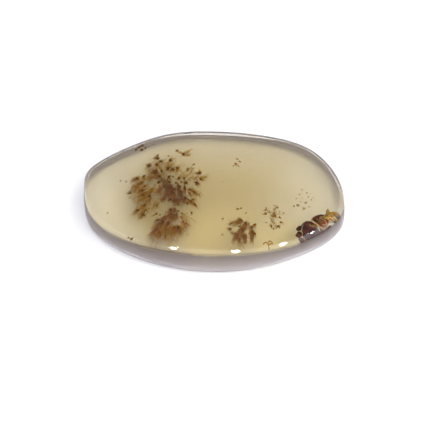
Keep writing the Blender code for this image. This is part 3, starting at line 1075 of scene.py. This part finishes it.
# What the three colours of a ramp of stains stand for: the tone of a plume or the tint of a lobe
TONES = (0.0, 0.5, 1.0)
# Where a twig turns from its head's colour to its own, and from that to its tip's, by its reach
HEAD_FADES = (0.08, 0.32)
TIP_FADES = (0.4, 1.0)
# How far down a stain faces where it is bleached, and where it has its own colour
UNDERSIDE = (-0.5, 0.0)
# The mineral grain of each material: its scale for each millimetre and its strength
SKIN_GRAIN = (0.8, 0.12)
DENDRITE_GRAIN = (1.6, 0.35)
IRON_GRAIN = (2.2, 0.45)
VEIN_GRAIN = (2.5, 0.35)
# The streaks painted on the iron plume: how far they are turned from +X, how they are stretched, their
# scale for each millimetre, where they go from dark to light, and how dark they leave iron and jasper
STREAK_TURN = math.radians(-25)
STREAK_STRETCH = (2.4, 0.7, 1.0)
STREAK_SCALE = 1.3
STREAK_LIGHT = (0.40, 0.60)
STREAK_SHADES = (0.35, 0.25)


def feed(tree, value, socket):
    """Links a socket to another one, or sets it to a plain number, vector or colour."""
    if isinstance(value, bpy.types.NodeSocket):
        tree.links.new(value, socket)
    elif socket.type == "RGBA":
        socket.default_value = (*value, 1.0)
    else:
        socket.default_value = value


def set_node(tree, node, values):
    """Sets a node's properties and, under their names with _ for a space, its sockets; gives the node."""
    for name, value in values.items():
        if hasattr(node, name):
            setattr(node, name, value)
        else:
            feed(tree, value, node.inputs[name.replace("_", " ")])
    return node


def add_node(tree, kind, **values):
    """A new node with its properties and sockets set."""
    return set_node(tree, tree.nodes.new(kind), values)


def new_group(name, inputs, outputs):
    """An empty shader node group with the given (name, socket type, default) inputs and outputs."""
    group = bpy.data.node_groups.new(name, "ShaderNodeTree")
    for label, kind, default in inputs:
        group.interface.new_socket(label, in_out="INPUT", socket_type=kind).default_value = default
    for label, kind in outputs:
        group.interface.new_socket(label, in_out="OUTPUT", socket_type=kind)
    return group, group.nodes.new("NodeGroupInput"), group.nodes.new("NodeGroupOutput")


def new_material(name, **values):
    """A node material, with its tree and its Principled shader, whose plain sockets are set."""
    material = bpy.data.materials.new(name)
    material.use_nodes = True
    tree = material.node_tree
    return material, tree, set_node(tree, tree.nodes["Principled BSDF"], values)


def maths(tree, operation, *values, kind="ShaderNodeMath", output="Value"):
    """The result of a Math node, or one of another kind, on its values."""
    node = add_node(tree, kind, operation=operation)
    for value, socket in zip(values, node.inputs):
        feed(tree, value, socket)
    return node.outputs[output]


def vector_maths(tree, operation, *values, output="Vector"):
    """The result of a Vector Math node on its values."""
    return maths(tree, operation, *values, kind="ShaderNodeVectorMath", output=output)


def remap(tree, value, low, high, start=0.0, end=1.0, curve="LINEAR"):
    """Goes from start to end while the value goes from low to high, and no farther."""
    node = add_node(
        tree, "ShaderNodeMapRange", interpolation_type=curve, Value=value,
        From_Min=low, From_Max=high, To_Min=start, To_Max=end,
    )
    return node.outputs["Result"]


def span(tree, value, low, high):
    """0 below low and 1 above high, smooth in between."""
    return remap(tree, value, low, high, curve="SMOOTHSTEP")


def blend(tree, mask, first, second):
    """A colour that goes from the first to the second as the mask goes from 0 to 1."""
    node = add_node(tree, "ShaderNodeMix", data_type="RGBA", Factor=mask)
    for value, number in zip((first, second), MIX_COLOURS):
        feed(tree, value, node.inputs[number])
    return node.outputs[MIX_RESULT]


def ramp(tree, value, stops, hues):
    """The colour that a value meets on its way past the stops, each of which has its hue."""
    node = add_node(tree, "ShaderNodeValToRGB", Fac=value)
    elements = node.color_ramp.elements
    while len(elements) < len(stops):
        elements.new(0.5)
    for element, stop, hue in zip(elements, stops, hues):
        element.position = stop
        element.color = (*hue, 1.0)
    return node.outputs["Color"]


def cloudy(tree, place, scale, detail, roughness):
    """Noise between 0 and 1 at a place, with its scale for each metre."""
    node = add_node(
        tree, "ShaderNodeTexNoise", Vector=place, Scale=scale, Detail=detail, Roughness=roughness
    )
    return node.outputs["Fac"]


def own(tree, kind):
    """A piece's own place as "Object" or its normal as "Normal", or the way into the room as "Generated"."""
    return add_node(tree, "ShaderNodeTexCoord").outputs[kind]


def own_axis(tree, kind, axis):
    """The X, Y or Z of the stone's own place or normal."""
    return add_node(tree, "ShaderNodeSeparateXYZ", Vector=own(tree, kind)).outputs[axis]


def painted(tree, name):
    """The values that a mesh holds at its points under a name."""
    return add_node(tree, "ShaderNodeAttribute", attribute_name=name).outputs["Fac"]


def distance_from(tree, x, y, half_length, half_width):
    """How far a place lies from (x, y), in shares of the two half sizes; all four in millimetres."""
    shifted = vector_maths(tree, "SUBTRACT", own(tree, "Object"), Vector((x, y, 0.0)) * MM)
    scaled = vector_maths(tree, "DIVIDE", shifted, (half_length * MM, half_width * MM, 1.0))
    return vector_maths(tree, "LENGTH", scaled, output="Value")


def mineral_grain_group():
    """Fine and coarse mottling that varies a colour in brightness."""
    if GRAIN in bpy.data.node_groups:
        return bpy.data.node_groups[GRAIN]
    group, given, out = new_group(
        GRAIN,
        (
            ("Color", "NodeSocketColor", (0.5, 0.5, 0.5, 1.0)),
            ("Scale", "NodeSocketFloat", 1.0),
            ("Strength", "NodeSocketFloat", 0.3),
        ),
        (("Color", "NodeSocketColor"),),
    )
    scale = maths(group, "MULTIPLY", given.outputs["Scale"], 1 / MM)
    grain = cloudy(group, own(group, "Object"), scale, detail=4.0, roughness=0.6)
    less = maths(group, "SUBTRACT", 1.0, given.outputs["Strength"])
    more = maths(group, "ADD", 1.0, given.outputs["Strength"])
    swing = remap(group, grain, *GRAIN_SPAN, less, more)
    shade = add_node(group, "ShaderNodeVectorMath", operation="SCALE", Scale=swing)
    group.links.new(given.outputs["Color"], shade.inputs[0])
    group.links.new(shade.outputs[0], out.inputs["Color"])
    return group


def grained(tree, base, scale, strength):
    """The base colour with mineral grain over it."""
    grain = add_node(
        tree, "ShaderNodeGroup", node_tree=mineral_grain_group(), Color=base, Scale=scale, Strength=strength
    )
    return grain.outputs["Color"]


def stained(tree, base, grain):
    """The base colour with mineral grain over it, bleached where it faces down."""
    above = span(tree, own_axis(tree, "Normal", "Z"), *UNDERSIDE)
    bleached = bpy.context.scene.agate_dendrites.underside
    return blend(tree, above, bleached, grained(tree, base, *grain))


def polish_mask(tree):
    """0 on the satin walls and 1 on the polished face and back, from the stone's own normal and place."""
    level = maths(tree, "ABSOLUTE", own_axis(tree, "Normal", "Z"))
    far = span(tree, own_axis(tree, "Object", "Y"), *(y * MM for y in FAR_SIDE))
    near_edge, far_edge = (span(tree, level, *edge) for edge in (POLISH_STARTS, FAR_POLISH_STARTS))
    mask = add_node(tree, "ShaderNodeMix", data_type="FLOAT", Factor=far, A=near_edge, B=far_edge)
    return mask.outputs[0]


def face_tint(tree):
    """Honey in the middle and cream towards the ends, golden stains with painted light, and painted shade on
    the back's rim.
    """
    stone = bpy.context.scene.agate_stone
    clouds = cloudy(tree, own(tree, "Object"), CLOUD_SCALE / MM, detail=3.0, roughness=0.5)
    drift = maths(tree, "MULTIPLY_ADD", clouds, *CLOUD_DRIFT)
    away = distance_from(tree, *HONEY_CENTRE, LENGTH / 2, WIDTH / 2 * HONEY_SPREAD)
    tint = ramp(tree, maths(tree, "ADD", away, drift), HONEY_FADES, (stone.honey, stone.cream))
    # Golden stains, lightened as painted light near the front rim
    for place, stain in zip(STAINS_AND_LIGHT, (stone.stain, stone.stain, stone.pale_stain_and_light)):
        off = span(tree, distance_from(tree, *place), *STAIN_EDGE)
        tint = blend(tree, off, stain, tint)
    # Painted shade: grey on the back within a little of the rim
    front = span(tree, own_axis(tree, "Normal", "Z"), *BACK_FACES_DOWN)
    inside = span(tree, painted(tree, "inset"), *BACK_SHADE_SPAN)
    return blend(tree, maths(tree, "MAXIMUM", front, inside), stone.back_rim_shade, tint)


def wall_shade_tint(tree):
    """The tint of the ground walls, darkened as painted shade from their foot to their top."""
    stone = bpy.context.scene.agate_stone
    climb = remap(tree, own_axis(tree, "Object", "Z"), 0.0, THICKNESS * MM)
    pairs = zip(stone.wall_foot, stone.wall_top_shade)
    middle = [FOOT_IN_MIDDLE * foot + (1 - FOOT_IN_MIDDLE) * top for foot, top in pairs]
    return ramp(tree, climb, WALL_STOPS, (stone.wall_foot, middle, stone.wall_top_shade))


def agate_material():
    """Clear honey chalcedony: polished face, satin walls, and a colour that deepens with depth."""
    stone = bpy.context.scene.agate_stone
    material, tree, shader = new_material("agate", Metallic=0.0, IOR=stone.ior, Transmission_Weight=1.0)
    polished = polish_mask(tree)
    # The walls take a tint that is darkened upwards as painted shade
    tree.links.new(blend(tree, polished, wall_shade_tint(tree), face_tint(tree)), shader.inputs["Base Color"])
    gloss = remap(tree, polished, 0.0, 1.0, stone.satin, stone.polish)
    tree.links.new(gloss, shader.inputs["Roughness"])

    soak = add_node(tree, "ShaderNodeVolumeAbsorption", Color=stone.soaked, Density=stone.soak_density)
    haze = add_node(
        tree, "ShaderNodeVolumeScatter", Color=stone.haze, Density=stone.haze_density,
        Anisotropy=stone.haze_forward,
    )
    both = add_node(tree, "ShaderNodeAddShader")
    for part, socket in zip((soak, haze), both.inputs):
        tree.links.new(part.outputs[0], socket)
    tree.links.new(both.outputs[0], tree.nodes["Material Output"].inputs["Volume"])
    return material


def skin_material():
    """The milky bloom that grinding leaves on the wall, thin enough to let some light through, with painted
    shade.
    """
    stone = bpy.context.scene.agate_stone
    material, tree, shader = new_material("frosted_wall", Roughness=0.9, Specular_IOR_Level=0.0)
    climb = span(tree, own_axis(tree, "Object", "Z"), *(z * MM for z in SKIN_CLIMB))
    over_line, inner = painted(tree, "climb"), painted(tree, "inner")
    # The bevel's colours, with a thin line of painted shade over it
    light, line = stone.bevel_light, stone.bevel_shade_line
    bevel = ramp(tree, remap(tree, over_line, *BEVEL_LINES), BEVEL_STOPS, (light, line, line, light))
    off_bevel = span(tree, over_line, *BEVEL_END)
    # The outer colour of the skin, darkened upwards as painted shade
    wall = blend(tree, off_bevel, bevel, blend(tree, climb, stone.bloom_foot, stone.bloom_top_shade))
    # Painted shade on the skin's inner side, darkest under the shoulder
    inside = blend(tree, climb, stone.inner_foot_shade, stone.inner_top_shade)
    whole = grained(tree, blend(tree, inner, wall, inside), *SKIN_GRAIN)
    tree.links.new(whole, shader.inputs["Base Color"])
    thin = maths(tree, "MAXIMUM", off_bevel, inner)
    cover = remap(tree, thin, 0.0, 1.0, stone.bevel_bloom, stone.bloom)
    tree.links.new(cover, shader.inputs["Alpha"])
    return material


def dendrite_material():
    """Brown oxide: dark at the heads, then mauve, olive or rust by the plume's tone, pale at the tips."""
    if "dendrite" in bpy.data.materials:
        return bpy.data.materials["dendrite"]
    stains = bpy.context.scene.agate_dendrites
    material, tree, shader = new_material("dendrite", Roughness=0.7, Specular_IOR_Level=0.0)
    reach, tone = painted(tree, "reach"), painted(tree, "tone")
    twig = ramp(tree, tone, TONES, (stains.mauve, stains.olive, stains.rust))
    tip = ramp(tree, tone, TONES, (stains.faded, stains.gold, stains.orange))
    body = blend(tree, span(tree, reach, *HEAD_FADES), stains.head, twig)
    whole = blend(tree, span(tree, reach, *TIP_FADES), body, tip)
    tree.links.new(stained(tree, whole, DENDRITE_GRAIN), shader.inputs["Base Color"])
    return material


def iron_material():
    """Massive iron oxide: purple, red or olive brown by the lobe's tint, streaked and grained."""
    stains = bpy.context.scene.agate_dendrites
    material, tree, shader = new_material("iron_plume", Roughness=0.6, Specular_IOR_Level=0.0)
    tint = painted(tree, "reach")
    stretched = add_node(
        tree, "ShaderNodeMapping", vector_type="TEXTURE", Vector=own(tree, "Object"),
        Rotation=(0.0, 0.0, STREAK_TURN), Scale=STREAK_STRETCH,
    )
    streaks = cloudy(tree, stretched.outputs[0], STREAK_SCALE / MM, detail=3.0, roughness=0.6)
    body = ramp(tree, tint, TONES, (stains.iron, stains.jasper, stains.ochre))
    dimmed = zip(STREAK_SHADES, (stains.iron, stains.jasper))
    dark = ramp(tree, tint, (0.0, 1.0), [[shade * v for v in hue] for shade, hue in dimmed])
    streaked = blend(tree, span(tree, streaks, *STREAK_LIGHT), dark, body)
    tree.links.new(stained(tree, streaked, IRON_GRAIN), shader.inputs["Base Color"])
    return material


def vein_material():
    """Pale gold chalcedony between the lobes of the iron plume."""
    material, tree, shader = new_material("gold_veins", Roughness=0.5, Specular_IOR_Level=0.0)
    gold = bpy.context.scene.agate_dendrites.vein
    tree.links.new(stained(tree, gold, VEIN_GRAIN), shader.inputs["Base Color"])
    return material


def ring_mesh(rings):
    """A mesh of the bands between rings of points in millimetres, and its rows of vertices."""
    mesh = bmesh.new()
    rows = [[mesh.verts.new(tuple(p * MM)) for p in ring] for ring in rings]
    for lower, upper in zip(rows, rows[1:]):
        bridge(mesh, lower, upper)
    return mesh, rows


def mesh_data(mesh, name):
    """A finished mesh as data that an object can show."""
    data = bpy.data.meshes.new(name)
    mesh.to_mesh(data)
    mesh.free()
    return data


def grow_all(plumes, surface, seed):
    """Grows each plume into a piece of its own, each with its own seed."""
    for number, plume in enumerate(plumes):
        growth = grow_plume(plume, surface, seed + number)
        growth.to_piece(plume.piece, dendrite_material(), surface, plume.tone)


class AGATE_OT_stone(bpy.types.Operator):
    """Builds the polished stone"""

    bl_idname = "agate.stone"
    bl_label = "Polished stone"

    def execute(self, context):
        mesh, rows = ring_mesh(stone_rings(context.scene.agate_stone))
        cap(mesh, rows[0], 0.0, faces_up=False)
        cap(mesh, rows[-1], THICKNESS, faces_up=True)
        data = mesh_data(mesh, STONE)
        paint(data, inset=rim_distances(data))
        stone = add_object(STONE, data, agate_material())
        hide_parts(NODE)
        return {"FINISHED"}


class AGATE_OT_skin(bpy.types.Operator):
    """Lays the frosted skin inside the ground wall"""

    bl_idname = "agate.skin"
    bl_label = "Frosted wall"

    def execute(self, context):
        rings, climbs = skin_rings(context.scene.agate_stone)
        mesh, rows = ring_mesh(rings)
        bridge(mesh, rows[-1], rows[0])
        data = mesh_data(mesh, "frosted_wall")
        paint(data, climb=climbs, inner=np.repeat((0.0, 1.0), len(climbs) // 2))
        add_object("frosted_wall", data, skin_material())
        return {"FINISHED"}


class AGATE_OT_plumes(bpy.types.Operator):
    """Grows the two clusters of feathery brown plumes"""

    bl_idname = "agate.plumes"
    bl_label = "Plumes"

    def execute(self, context):
        grow_all(PLUMES, stone_surface(), SEED)
        return {"FINISHED"}


class AGATE_OT_marks(bpy.types.Operator):
    """Sets the small marks: the ring of curls, the freckles, the strays and the little tree"""

    bl_idname = "agate.marks"
    bl_label = "Small marks"

    def execute(self, context):
        surface = stone_surface()
        grow_all(MARKS, surface, MARKS_SEED)
        tree = Growth()
        for plan in TREE:
            lay_twig(tree, surface, plan, TREE_RADIUS, TREE_DEPTH, TREE_REACH)
        tree.to_piece("little_tree", dendrite_material(), surface, TREE_TONE)
        return {"FINISHED"}


class AGATE_OT_iron(bpy.types.Operator):
    """Builds the dense iron plume at the round end and its gold veins"""

    bl_idname = "agate.iron"
    bl_label = "Iron plume"

    def execute(self, context):
        surface = stone_surface()
        lobes = Growth()
        for lobe in LOBES:
            add_lobe(lobes, surface, lobe)
        for tint, radius, plan in RIDGES:
            lay_twig(lobes, surface, plan, radius, IRON_COVER + radius / 2, (tint, tint), sides=10)
        rng = np.random.default_rng(IRON_SEED)
        for *ends, width, tint in IRON_STREAKS:
            lay_streak(lobes, rng, surface, ends, width, STREAK_COVER, (tint, tint))
        lobes.to_piece("iron_plume", iron_material(), surface)
        veins = Growth()
        for *ends, width in GOLD_STREAKS:
            lay_streak(veins, rng, surface, ends, width, VEIN_COVER, (0.0, 1.0))
        for radius, plan in VEINS:
            lay_twig(veins, surface, plan, radius, VEIN_COVER, (0.0, 1.0))
        veins.to_piece("gold_veins", vein_material(), surface)
        return {"FINISHED"}


# Mirror images of the lamps on the front shoulder, as the picture shows them in pixels: the middle, the
# half width, the half height and how much the right end is lifted
LAMPS = (
    (174.5, 248.4, 3.6, 1.5, -0.4),
    (235.2, 251.6, 4.6, 1.7, 0.0),
    (282.6, 244.4, 3.4, 1.5, 0.9),
    (310.8, 233.2, 1.7, 1.3, 0.4),
)
# The picture's side in pixels, and the width of the camera's sensor in millimetres
PICTURE_SIDE = 430
SENSOR = 36.0
# How far from the shoulder a lamp hangs, and how many points on the edge of its mirror image are traced
LAMP_DISTANCE = 0.5
LAMP_PROBES = 24
# Where the face turns into the shoulder: no lamp is placed where flatter stone would mirror it
LEAST_TILT = math.radians(10)
# A long strip behind the table, mirrored as a thin line along the far rim
STRIP_PLACE = (0.0, 1.3, 1.0)
STRIP_SIZE = (2.4, 0.3)
# The way to the brightest part of the room
BRIGHTEST_WAY = (0.6, -0.25, 1.0)
# The dark screen that keeps the polished face free of reflections
SCREEN_WAY = (0.0, 0.574, 0.819)
SCREEN_EDGE = (0.80, 0.97)
SCREEN_SHADE = 0.12
# The colour of the light at table height and higher up, and where each is reached
COOL_LIGHT = (0.86, 0.88, 1.0)
NEUTRAL_LIGHT = (1.0, 0.995, 0.99)
LIGHT_STOPS = (0.0, 0.7)
# The table's side, and how far under the stone it lies
TABLE_SIDE = 3.0
TABLE_GAP = 0.02 * MM
# How far to the right the camera stands, the place that it is aimed at, and the nearest that it can see
CAMERA_ASIDE = 0.2 * MM
CAMERA_AIM = (0.0, -1.95 * MM, 0.95 * MM)
NEAREST_SEEN = 0.01
# How often light may turn on its way, in all, through clear stone and in its haze
BOUNCES = {"max_bounces": 32, "transmission_bounces": 24, "volume_bounces": 12}


def pixel_ray(camera, pixel):
    """Where the camera stands and the direction in which it sees a pixel."""
    lens = camera.data.lens / SENSOR * PICTURE_SIDE
    middle = PICTURE_SIDE / 2
    aim = Vector(((pixel[0] - middle) / lens, (middle - pixel[1]) / lens, -1.0))
    return camera.location, (camera.rotation_euler.to_matrix() @ aim).normalized()


def add_table(stage):
    """The white table, just under the stone."""
    half = TABLE_SIDE / 2
    corners = [(x, y, -TABLE_GAP) for x, y in ((-half, -half), (half, -half), (half, half), (-half, half))]
    data = bpy.data.meshes.new("table")
    data.from_pydata(corners, [], [(0, 1, 2, 3)])
    data.materials.append(
        new_material("table", Base_Color=stage.table, Roughness=0.9, Specular_IOR_Level=0.1)[0]
    )
    table = bpy.data.objects.new("table", data)
    bpy.context.scene.collection.objects.link(table)


def add_room_light(stage):
    """Soft light from all round, brightest overhead, with a dark screen where the face would mirror it."""
    world = bpy.data.worlds.new("room")
    bpy.context.scene.world = world
    world.use_nodes = True
    tree = world.node_tree
    facing, hidden = (
        vector_maths(tree, "DOT_PRODUCT", own(tree, "Generated"), Vector(way).normalized(), output="Value")
        for way in (BRIGHTEST_WAY, SCREEN_WAY)
    )
    climb = remap(tree, facing, 0.0, 1.0, stage.around, stage.overhead)
    screen = remap(tree, hidden, *SCREEN_EDGE, 1.0, SCREEN_SHADE, curve="SMOOTHSTEP")
    hue = ramp(tree, facing, LIGHT_STOPS, (COOL_LIGHT, NEUTRAL_LIGHT))
    background = tree.nodes["Background"]
    tree.links.new(maths(tree, "MULTIPLY", climb, screen), background.inputs["Strength"])
    tree.links.new(hue, background.inputs["Color"])


def add_camera(stage):
    """The camera, looking along +Y and down at the stone."""
    data = bpy.data.cameras.new("camera")
    data.lens = stage.lens
    data.sensor_width = SENSOR
    data.clip_start = NEAREST_SEEN
    camera = bpy.data.objects.new("camera", data)
    bpy.context.scene.collection.objects.link(camera)
    back = Vector((0.0, -math.cos(stage.elevation), math.sin(stage.elevation)))
    camera.location = Vector(CAMERA_AIM) + Vector((CAMERA_ASIDE, 0.0, 0.0)) + back * stage.distance
    camera.rotation_euler = (math.pi / 2 - stage.elevation, 0.0, 0.0)
    bpy.context.scene.camera = camera
    return camera


def add_lamp(name, shape, size, glow, place, way, across):
    """A lamp of even glow at a place that shines against the given way, seen only in mirror images."""
    data = bpy.data.lights.new(name, "AREA")
    data.shape = shape
    data.size, data.size_y = size
    data.energy = glow * math.pi * size[0] * size[1] * (math.pi / 4 if shape == "ELLIPSE" else 1.0)
    lamp = bpy.data.objects.new(name, data)
    bpy.context.scene.collection.objects.link(lamp)
    across = (across - way * across.dot(way)).normalized()
    axes = Matrix((across, way.cross(across), way)).transposed()
    lamp.location = place
    lamp.rotation_euler = axes.to_euler()
    lamp.visible_camera = False
    lamp.visible_diffuse = False
    lamp.visible_transmission = False
    lamp.visible_volume_scatter = False


def tilted(turn, tilt):
    """The unit normal that leans from straight up towards a compass turn."""
    return Vector((math.cos(turn) * math.sin(tilt), math.sin(turn) * math.sin(tilt), math.cos(tilt)))


def mirrored_way(data, surface, camera, pixel):
    """Where the camera's ray through a pixel meets the shoulder, and the way it is mirrored there."""
    eye, aim = pixel_ray(camera, pixel)
    hit, _, number, _ = surface.ray_cast(eye / MM, aim)
    corners = data.polygons[number].vertices
    weights = poly_3d_calc([data.vertices[corner].co / MM for corner in corners], hit)
    normal = sum((data.vertices[corner].normal * w for corner, w in zip(corners, weights)), Vector())
    tilt = max(normal.angle(Vector((0.0, 0.0, 1.0))), LEAST_TILT)
    return hit * MM, aim.reflect(tilted(math.atan2(normal.y, normal.x), tilt))


def add_lamps(stage, camera):
    """Lamps that the front shoulder mirrors as the wanted ellipses, and the strip behind the table."""
    surface = stone_surface()
    data = bpy.data.objects[STONE].data
    turns = np.linspace(0, 2 * math.pi, LAMP_PROBES, endpoint=False)
    for number, (x, y, half_width, half_height, lift) in enumerate(LAMPS):
        spot, middle = mirrored_way(data, surface, camera, (x, y))
        place = spot + middle * LAMP_DISTANCE
        across = middle.orthogonal().normalized()
        upward = middle.cross(across)
        edge = []
        for turn in turns:
            right, up = math.cos(turn), math.sin(turn)
            pixel = (x + half_width * right, y - half_height * up - lift * right)
            start, way = mirrored_way(data, surface, camera, pixel)
            reach = (place - start).dot(middle) / way.dot(middle)
            offset = start + way * reach - place
            edge.append((offset.dot(across), offset.dot(upward)))
        edge = np.array(edge)
        shift = edge.mean(axis=0)
        spread = 2 / LAMP_PROBES * np.column_stack([edge.T @ np.cos(turns), edge.T @ np.sin(turns)])
        axes, halves, _ = np.linalg.svd(spread)
        size = tuple(2 * float(half) for half in halves)
        long_way = across * float(axes[0, 0]) + upward * float(axes[1, 0])
        place = place + across * float(shift[0]) + upward * float(shift[1])
        add_lamp(f"lamp_{number}", "ELLIPSE", size, stage.lamp_glow, place, middle, long_way)
    strip = Vector(STRIP_PLACE)
    along = Vector((1.0, 0.0, 0.0))
    add_lamp("strip", "RECTANGLE", STRIP_SIZE, stage.strip_glow, strip, strip.normalized(), along)


class AGATE_OT_stage(bpy.types.Operator):
    """Sets the table, the light and the camera"""

    bl_idname = "agate.stage"
    bl_label = "Table, light and camera"

    def execute(self, context):
        scene = context.scene
        stage = scene.agate_stage
        add_table(stage)
        add_room_light(stage)
        add_lamps(stage, add_camera(stage))
        scene.view_settings.view_transform = "Standard"
        for name, count in BOUNCES.items():
            setattr(scene.cycles, name, count)
        return {"FINISHED"}


class AGATE_PT_panel(bpy.types.Panel):
    """Lists the steps and the settings of the stone"""

    bl_idname = "AGATE_PT_panel"
    bl_label = "Dendritic agate"
    bl_space_type = "VIEW_3D"
    bl_region_type = "UI"
    bl_category = "Agate"

    def draw(self, context):
        for step in STEPS:
            self.layout.operator(step.bl_idname)
        for group in (context.scene.agate_stone, context.scene.agate_dendrites, context.scene.agate_stage):
            box = self.layout.box()
            for name in group.__annotations__:
                box.prop(group, name)


SETTINGS = {"agate_stone": StoneSettings, "agate_dendrites": DendriteSettings, "agate_stage": StageSettings}
STEPS = (AGATE_OT_stone, AGATE_OT_skin, AGATE_OT_plumes, AGATE_OT_marks, AGATE_OT_iron, AGATE_OT_stage)


def register():
    for group in SETTINGS.values():
        bpy.utils.register_class(group)
    for step in STEPS:
        bpy.utils.register_class(step)
    bpy.utils.register_class(AGATE_PT_panel)
    for name, group in SETTINGS.items():
        setattr(bpy.types.Scene, name, bpy.props.PointerProperty(type=group))


def unregister():
    for name in SETTINGS:
        delattr(bpy.types.Scene, name)
    bpy.utils.unregister_class(AGATE_PT_panel)
    for step in reversed(STEPS):
        bpy.utils.unregister_class(step)
    for group in reversed(SETTINGS.values()):
        bpy.utils.unregister_class(group)


def main():
    """Registers the add-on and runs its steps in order."""
    register()
    bpy.ops.agate.stone()
    bpy.ops.agate.skin()
    bpy.ops.agate.plumes()
    bpy.ops.agate.marks()
    bpy.ops.agate.iron()
    bpy.ops.agate.stage()


if __name__ == "__main__":
    main()
